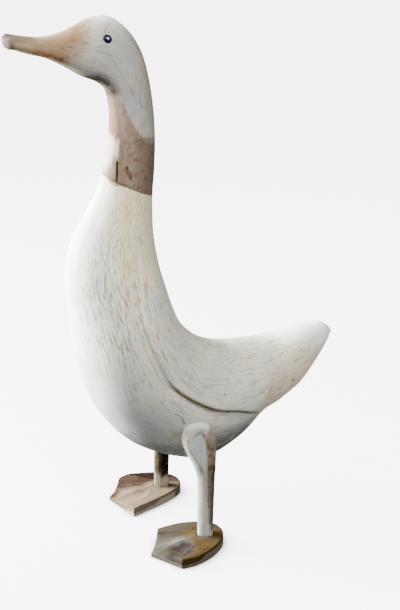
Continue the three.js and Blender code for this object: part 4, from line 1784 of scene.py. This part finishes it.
@dataclass
class Foot:
    """A webbed plank with three toes, hollows between them and a socket for its leg.

    Attributes:
        side: the side of the bird.
        outline: its outline.
        finish: the wood's finish.
        marks: the marks in it.
        leg_spacing: how far apart the legs' axes are.
        thickness: the plank's thickness.
        socket_radius: the radius of the hole for the shin.
        socket_floor: the height of that hole's floor.
        socket_rows: the heights of the rows of faces up that hole's wall.
        socket_lip: how far out of the hole the upper face starts.
        hollow_length: how far the hollows between the toes run.
        hollow_half_width: half the width of such a hollow.
        hollow_depth: how deep it is.
        hollow_start: how far out it is deepest, where 1 is midway between two toes' tips.
        tip_thinning: how much the middle toe is thinned at its tip.
        thinning_start: where the thinning starts, as a share of the toe's length.
        thinning_width: how far to the side it reaches.
        rim: how round its edges are.
        rim_steps: the points of a rounded edge.
        sole_steps: the columns of faces round the heel.
        web_steps: the columns along each web.
        top_rows: the rows of faces on the upper face.
        side_rows: the rows up the side.
        under_rows: the rows on the sole.
        dent_depth: how uneven the upper face is.
        dent_size: how far apart its dents are.
    """

    side: Side
    outline: FootOutline
    finish: WoodFinish
    marks: tuple[Mark, ...]
    leg_spacing: float = LEG_SPACING
    thickness: float = 10.0
    socket_radius: float = 8.3
    socket_floor: float = 2.6
    socket_rows: tuple[float, ...] = (5.0, 7.5, 9.4)
    socket_lip: float = 0.4
    hollow_length: float = 58.0
    hollow_half_width: float = 19.0
    hollow_depth: float = 3.6
    hollow_start: float = 1.05
    tip_thinning: float = 6.5
    thinning_start: float = 0.45
    thinning_width: float = 22.0
    rim: float = 0.9
    rim_steps: int = 4
    sole_steps: int = 150
    web_steps: int = 50
    top_rows: int = 44
    side_rows: int = 6
    under_rows: int = 14
    dent_depth: float = 0.35
    dent_size: float = 11.0

    @property
    def node(self) -> str:
        """The name of the foot's solid."""
        return f"{self.side.name.lower()}_foot"

    def top(self, x: float, y: float) -> float:
        """The height of the foot's upper face.

        Args:
            x: how far back the place is from the leg's axis.
            y: how far to the bird's right it is.

        Returns:
            The height.
        """
        height = self.thickness
        lift = self.hollow_depth * 2
        toes = self.outline
        for first, second in ((toes.outer, toes.middle), (toes.middle, toes.inner)):
            mouth = Vector(((first[0] + second[0]) / 2, (first[1] + second[1]) / 2)) * self.hollow_start
            way = mouth.normalized()
            along = ((x - mouth.x) * way.x + (y - mouth.y) * way.y) / self.hollow_length
            across = ((y - mouth.y) * way.x - (x - mouth.x) * way.y) / self.hollow_half_width
            inside = 1 - along * along - across * across
            if inside > 0:
                floor = self.thickness + lift - (self.hollow_depth + lift) * math.sqrt(inside)
                height = min(height, floor)
        middle = Vector(toes.middle)
        way = middle.normalized()
        out = x * way.x + y * way.y
        off = y * way.x - x * way.y
        thinned = smooth_step(out, middle.length * self.thinning_start, middle.length)
        thinned *= math.exp(-(off / self.thinning_width) ** 2)
        return height - self.tip_thinning * thinned * height / self.thickness

    def build(self) -> Piece:
        """Saws and hollows the plank and bores its socket.

        Returns:
            The piece.
        """
        edge = self.outline.points(self.sole_steps, self.web_steps)
        socket = [(0.0, self.socket_floor), (1.0, self.socket_floor), *((1.0, z) for z in self.socket_rows)]
        rounding = np.linspace(0, math.pi / 2, self.rim_steps)
        rows = len(socket) + self.top_rows + 2 * self.rim_steps + self.side_rows + self.under_rows
        least_rims = 3

        def place(row: int, column: int) -> tuple[Vector, Vector]:
            """The bench point and wood point of a row and column."""
            end = Vector(edge[column])
            way = end.normalized()
            start = way * self.socket_radius
            tip = self.top(end.x, end.y)
            rim = min(self.rim, tip / least_rims)
            if row < len(socket):
                share, z = socket[row]
                flat = start * share
            elif row < len(socket) + self.top_rows:
                share = (row - len(socket)) / self.top_rows
                flat = (start + way * self.socket_lip).lerp(end - way * rim, share)
                z = self.top(flat.x, flat.y)
            elif row < len(socket) + self.top_rows + len(rounding):
                turn = rounding[row - len(socket) - self.top_rows]
                flat = end - way * rim * (1 - math.sin(turn))
                z = tip - rim * (1 - math.cos(turn))
            elif row < rows - len(rounding) - self.under_rows:
                share = (row - len(socket) - self.top_rows - len(rounding) + 1) / (self.side_rows + 1)
                flat = end
                z = (tip - rim) + (2 * rim - tip) * share
            elif row < rows - self.under_rows:
                turn = rounding[row - (rows - len(rounding) - self.under_rows)]
                flat = end - way * rim * (1 - math.cos(turn))
                z = rim * (1 - math.sin(turn))
            else:
                share = (row - (rows - self.under_rows) + 1) / (self.under_rows + 1)
                flat = (end - way * rim) * (1 - share)
                z = 0.0
            point = Vector((flat.x, flat.y + self.side.value * self.leg_spacing / 2, z))
            return point, Vector((flat.y, z, flat.x))

        bm = lofted(rows, len(edge), place)
        self.whittle(bm)
        return finished_object(bm, f"{self.side.name.lower()}_webbed_foot", self.marks)

    def whittle(self, bm: Mesh) -> None:
        """Makes the upper face and the edges a little uneven, and leaves the sole flat.

        Args:
            bm: the foot's mesh.
        """
        flat_up_to, uneven_from = 0.5, 2.5
        shift = Vector((self.side.value * 9, 0, 0))
        for vert in bm.verts:
            free = smooth_step(vert.co.z, flat_up_to, uneven_from)
            dent = noise.noise(vert.co / self.dent_size + shift)
            vert.co += vert.normal * self.dent_depth * free * dent
        bm.normal_update()

    def dress(self, piece: Piece) -> None:
        """Gives the foot its finish and its place."""
        hand_over(piece, self.node, self.finish.material(self.marks))


LEFT_FOOT_MARKS = (
    Mark("brown_inner_web", srgb(60, 50, 42), 0.8, softness=4, wobble=4, view=View.FROM_ABOVE,
         path=((-46, -40), (-30, -30), (8, -36), (8, -56), (-18, -62), (-42, -60))),
    Mark("tan_heel", srgb(70, 54, 30), 0.8, softness=4, wobble=3, view=View.FROM_ABOVE,
         path=((-16, -82), (-26, -68), (-20, -54), (-4, -46), (10, -44), (26, -50), (26, -76), (10, -78))),
    Mark("grey_web", srgb(58, 54, 46), 0.6, softness=4, wobble=4, view=View.FROM_ABOVE,
         path=((-66, -96), (-50, -78), (-40, -84), (-44, -100), (-56, -110))),
    Mark("purple_web", srgb(36, 29, 28), 0.9, softness=5, wobble=4, view=View.FROM_ABOVE,
         path=((-56, -102), (-42, -88), (-28, -82), (-18, -96), (-28, -111), (-41, -120), (-51, -116))),
    Mark("web_reds", srgb(42, 17, 10), 0.7, softness=3, wobble=3, view=View.FROM_ABOVE, spread=Spread.SPOTS,
         path=((-54, -100), (-38, -88), (-26, -93), (-30, -111), (-42, -120), (-51, -112))),
    Mark("orange_band", srgb(62, 46, 20), 0.92, softness=3, wobble=2.5, view=View.FROM_ABOVE,
         path=((-50, -128), (-43, -121), (-28, -111), (-19, -101), (-17, -84), (-6, -80), (9, -75),
               (17, -69), (30, -70), (30, -130))),
    Mark("band_shade", srgb(42, 27, 10), 0.6, half_width=2.0, softness=2.5, wobble=2.5,
         view=View.FROM_ABOVE, path=((-44, -123), (-27, -118), (-10, -107.5))),
    # The side walls' grey-brown, made paler as painted light on walls that turn away from the lamps.
    Mark("grey_side_and_light", srgb(122, 112, 96), 0.85, softness=0.9, wobble=0.4,
         path=((-46, -5), (40, -5), (40, 7.6), (-14, 7.6), (-22, 4), (-44, 3))),
    Mark("front_side", srgb(84, 81, 73), 0.9, softness=0.9, wobble=0.4,
         path=((-70, -5), (-36, -5), (-36, 3.6), (-44, 4.2), (-70, 3.6))),
    Mark("pale_ridge", srgb(94, 94, 92), 0.8, softness=3.5, wobble=2, view=View.FROM_ABOVE,
         path=((-42, -80), (-30, -68), (-22, -68), (-24, -76), (-34, -84))),
    Mark("knot_ring", srgb(24, 16, 10), 0.95, half_width=0.6, softness=0.6, wobble=0.1,
         view=View.FROM_ABOVE,
         path=tuple((-6.5 + 2.2 * math.cos(a), -56.6 + 2.8 * math.sin(a)) for a in np.linspace(0, 6, 13))),
)


def left_foot() -> Foot:
    """The near foot: grey tan, with an orange brown band round its outer edge."""
    return Foot(
        Side.LEFT,
        FootOutline(
            outer=(-42, -53), middle=(-62, -15), inner=(-41, 29), outer_web=(-51, -35), inner_web=(-49, 8),
            sole=((-18, 35), (4, 32), (17, 22), (20, 6), (14.5, -12), (3, -28), (-10, -40), (-27, -50)),
        ),
        # The plank's colours are set dark: partly the brown wood, partly painted shade for the dimmer light
        # low down by the floor.
        WoodFinish(
            "grey_plank", wash=srgb(76, 73, 64), cool=srgb(72, 71, 67), bare=srgb(58, 44, 28),
            grey=srgb(56, 55, 52), dirt=srgb(38, 27, 17), showing=0.55, greying=0.5, cloudiness=0.7,
            fibre_length=14, roughness=0.82, gloss=0.0, wear=0.05, seed=31.0,
        ),
        LEFT_FOOT_MARKS,
    )


RIGHT_FOOT_MARKS = (
    # The pinkish brown of the foot's inner half, partly its colour and partly painted shade where the top
    # slopes away from the light.
    Mark("pink_half_and_shade", srgb(40, 27, 21), 0.88, softness=4, wobble=4, view=View.FROM_ABOVE,
         path=((-56, 60), (-44, 83), (-18, 78), (0, 85), (30, 95), (20, 130), (-60, 130), (-64, 80))),
    Mark("dark_toe", srgb(66, 60, 50), 0.8, half_width=4, softness=5, wobble=3, view=View.FROM_ABOVE,
         path=((-64, 66), (-63, 46), (-56, 30))),
    Mark("half_reds", srgb(66, 36, 26), 0.4, softness=3, wobble=3, view=View.FROM_ABOVE,
         spread=Spread.SPOTS, path=((-50, 90), (-18, 84), (0, 90), (10, 120), (-50, 120))),
    # Painted shadow: the top of the foot behind the leg darkened, where the leg's shadow falls.
    Mark("painted_leg_shadow", srgb(19, 10, 6), 0.85, softness=5, wobble=3, view=View.FROM_ABOVE,
         path=((-24, 112), (-16, 98), (0, 90), (8, 76), (34, 70), (34, 130), (-30, 130))),
    Mark("pale_side", srgb(172, 162, 146), 0.85, softness=1.5, wobble=0.6,
         path=((-52, -5), (10, -5), (10, 7.6), (-12, 7.6), (-20, 4), (-50, 3))),
    Mark("front_side", srgb(84, 80, 70), 0.85, softness=0.9, wobble=0.4,
         path=((-70, -5), (-52, -5), (-52, 3), (-70, 3))),
)


def right_foot() -> Foot:
    """The far foot: warm tan, pinkish brown with painted shade on its inner half, and a painted shadow
    behind its leg.
    """
    return Foot(
        Side.RIGHT,
        FootOutline(
            outer=(-48, -55), middle=(-59, 1), inner=(-38, 36), outer_web=(-51.5, -28), inner_web=(-48, 14),
            sole=((-25, 45), (-11, 44), (5, 40), (18, 31), (24, 16), (20, -5), (5, -21), (-13, -34),
                  (-28, -43)),
        ),
        # The plank's colours are set dark: partly the brown wood, partly painted shade for the dimmer light
        # low down by the floor.
        WoodFinish(
            "tan_plank", wash=srgb(115, 99, 82), cool=srgb(106, 95, 84), bare=srgb(80, 60, 44),
            grey=srgb(78, 71, 62), dirt=srgb(40, 27, 16), showing=0.6, greying=0.5, fibre_length=16,
            roughness=0.82, gloss=0.0, wear=0.05, seed=37.0,
        ),
        RIGHT_FOOT_MARKS,
    )


@dataclass(frozen=True)
class Lamp:
    """A round soft lamp, aimed at the duck's middle.

    Attributes:
        name: its name.
        left: how far it stands to the left of the camera, in degrees round the duck.
        height: how high it stands, in degrees.
        distance: how far off it is, in metres.
        size: how wide it is, in metres.
        power: the power that it gives out, in watts.
    """

    name: str
    left: float
    height: float
    distance: float
    size: float
    power: float


@dataclass
class Studio:
    """A pale floor, soft lights and the camera.

    Attributes:
        camera_at: the camera's place on the bench.
        heading: how far it is turned from looking straight along +Y, in degrees.
        pitch: how far it looks down, in degrees.
        focal_pixels: its focal length, in pixels of the picture.
        picture_height: the picture's height in pixels.
        sensor: the sensor's height in millimetres.
        floor_reach: how far the floor runs, in metres.
        floor_colour: the floor's colour as the camera sees it.
        floor_bounce: the floor's colour for the light that it throws back at the duck.
        floor_glow: the light that the floor shows to the camera where no lamp reaches it.
        shade_reach: how far from a foot the floor is shaded, in metres.
        darkest_glow: what is left of that light right beside a foot.
        sky_strength: how strong the even light from all round is.
        aim: the bench point that the lamps are aimed at.
        lamps: the soft lamps.
    """

    camera_at: tuple[float, float, float] = (-450.8, -1321.2, 577.7)
    heading: float = -19.6
    pitch: float = 14.0
    focal_pixels: float = 1420.0
    picture_height: float = 610.0
    sensor: float = 36.0
    floor_reach: float = 40.0
    floor_colour: Colour = srgb(150, 150, 150)
    floor_bounce: Colour = srgb(60, 58, 57)
    floor_glow: float = 6.0
    shade_reach: float = 0.06
    darkest_glow: float = 0.15
    sky_strength: float = 0.05
    aim: tuple[float, float, float] = (0.0, 0.0, 280.0)
    lamps: tuple[Lamp, ...] = (
        Lamp("rim", left=115, height=4, distance=2.0, size=1.2, power=520.0),
        Lamp("side", left=95, height=38, distance=0.8, size=0.35, power=27.0),
        Lamp("front", left=28, height=48, distance=0.8, size=0.35, power=10.5),
        Lamp("fill", left=-60, height=14, distance=0.8, size=0.35, power=4.5),
    )

    def build(self) -> None:
        """Sets up the camera, the lights, the sky and the floor."""
        self.add_camera()
        self.add_sky()
        self.add_floor()
        for lamp in self.lamps:
            self.add_lamp(lamp)

    def add_camera(self) -> None:
        """Places the camera and makes it the scene's."""
        data = bpy.data.cameras.new("camera")
        data.sensor_fit = "VERTICAL"
        data.sensor_height = self.sensor
        data.lens = self.sensor * self.focal_pixels / self.picture_height
        camera = bpy.data.objects.new("camera", data)
        camera.location = to_frame(Vector(self.camera_at))
        camera.rotation_euler = (math.radians(90 - self.pitch), 0, math.radians(self.heading))
        bpy.context.scene.collection.objects.link(camera)
        bpy.context.scene.camera = camera

    def add_sky(self) -> None:
        """Lights the studio evenly from all round, and shows a backdrop as pale as the floor."""
        world = bpy.data.worlds.new("studio")
        world.use_nodes = True
        wiring = Wiring(world.node_tree)
        seen = wiring.node("ShaderNodeLightPath").outputs["Is Camera Ray"]
        wiring.feed(world.node_tree.nodes["Background"], {
            "Color": (1.0, 1.0, 1.0),
            "Strength": wiring.ramp(seen, 0.0, 1.0, self.sky_strength, self.floor_glow),
        })
        bpy.context.scene.world = world

    def add_floor(self) -> None:
        """Lays the plain floor."""
        bm = bmesh.new()
        bmesh.ops.create_grid(bm, x_segments=1, y_segments=1, size=self.floor_reach)
        mesh = bpy.data.meshes.new("floor")
        bm.to_mesh(mesh)
        bm.free()
        paint = bpy.data.materials.new("studio_floor")
        paint.use_nodes = True
        shader = paint.node_tree.nodes["Principled BSDF"]
        wiring = Wiring(paint.node_tree)
        seen = wiring.node("ShaderNodeLightPath").outputs["Is Camera Ray"]
        shade = wiring.feed(wiring.node("ShaderNodeAmbientOcclusion", samples=8),
                            {"Distance": self.shade_reach})
        closed_in, open_air = 0.4, 1.0
        glow = wiring.ramp(shade.outputs["AO"], closed_in, open_air, self.darkest_glow, self.floor_glow)
        wiring.feed(shader, {
            "Base Color": wiring.mix(seen, self.floor_bounce, self.floor_colour),
            "Roughness": 0.8,
            "Emission Color": (1.0, 1.0, 1.0),
            "Emission Strength": wiring.math("MULTIPLY", seen, glow),
        })
        mesh.materials.append(paint)
        floor = bpy.data.objects.new("floor", mesh)
        bpy.context.scene.collection.objects.link(floor)

    def add_lamp(self, lamp: Lamp) -> None:
        """Hangs a lamp, aimed at the duck."""
        data = bpy.data.lights.new(lamp.name, "AREA")
        data.shape = "DISK"
        data.size = lamp.size
        data.energy = lamp.power
        made = bpy.data.objects.new(lamp.name, data)
        turn = Euler((math.radians(90 - lamp.height), 0, math.radians(self.heading - lamp.left)))
        made.rotation_euler = turn
        made.location = to_frame(Vector(self.aim)) + turn.to_matrix() @ Vector((0, 0, lamp.distance))
        made.visible_camera = False
        bpy.context.scene.collection.objects.link(made)


def main() -> None:
    """Builds the studio and then the duck, piece by piece."""
    logging.basicConfig(level=logging.INFO, format="%(name)s: %(message)s")
    Studio().build()
    joint = GlueJoint()
    body = Body(joint)
    carved_body = body.build()
    body.dress(carved_body)
    eyes = [Eye(side) for side in (Side.LEFT, Side.RIGHT)]
    head = Head(joint)
    head.dress(head.build(eyes))
    for eye in eyes:
        eye.dress(eye.build())
    for leg in (left_leg(), right_leg()):
        leg.dress(leg.build(carved_body))
    for foot in (left_foot(), right_foot()):
        foot.dress(foot.build())


if __name__ == "__main__":
    main()
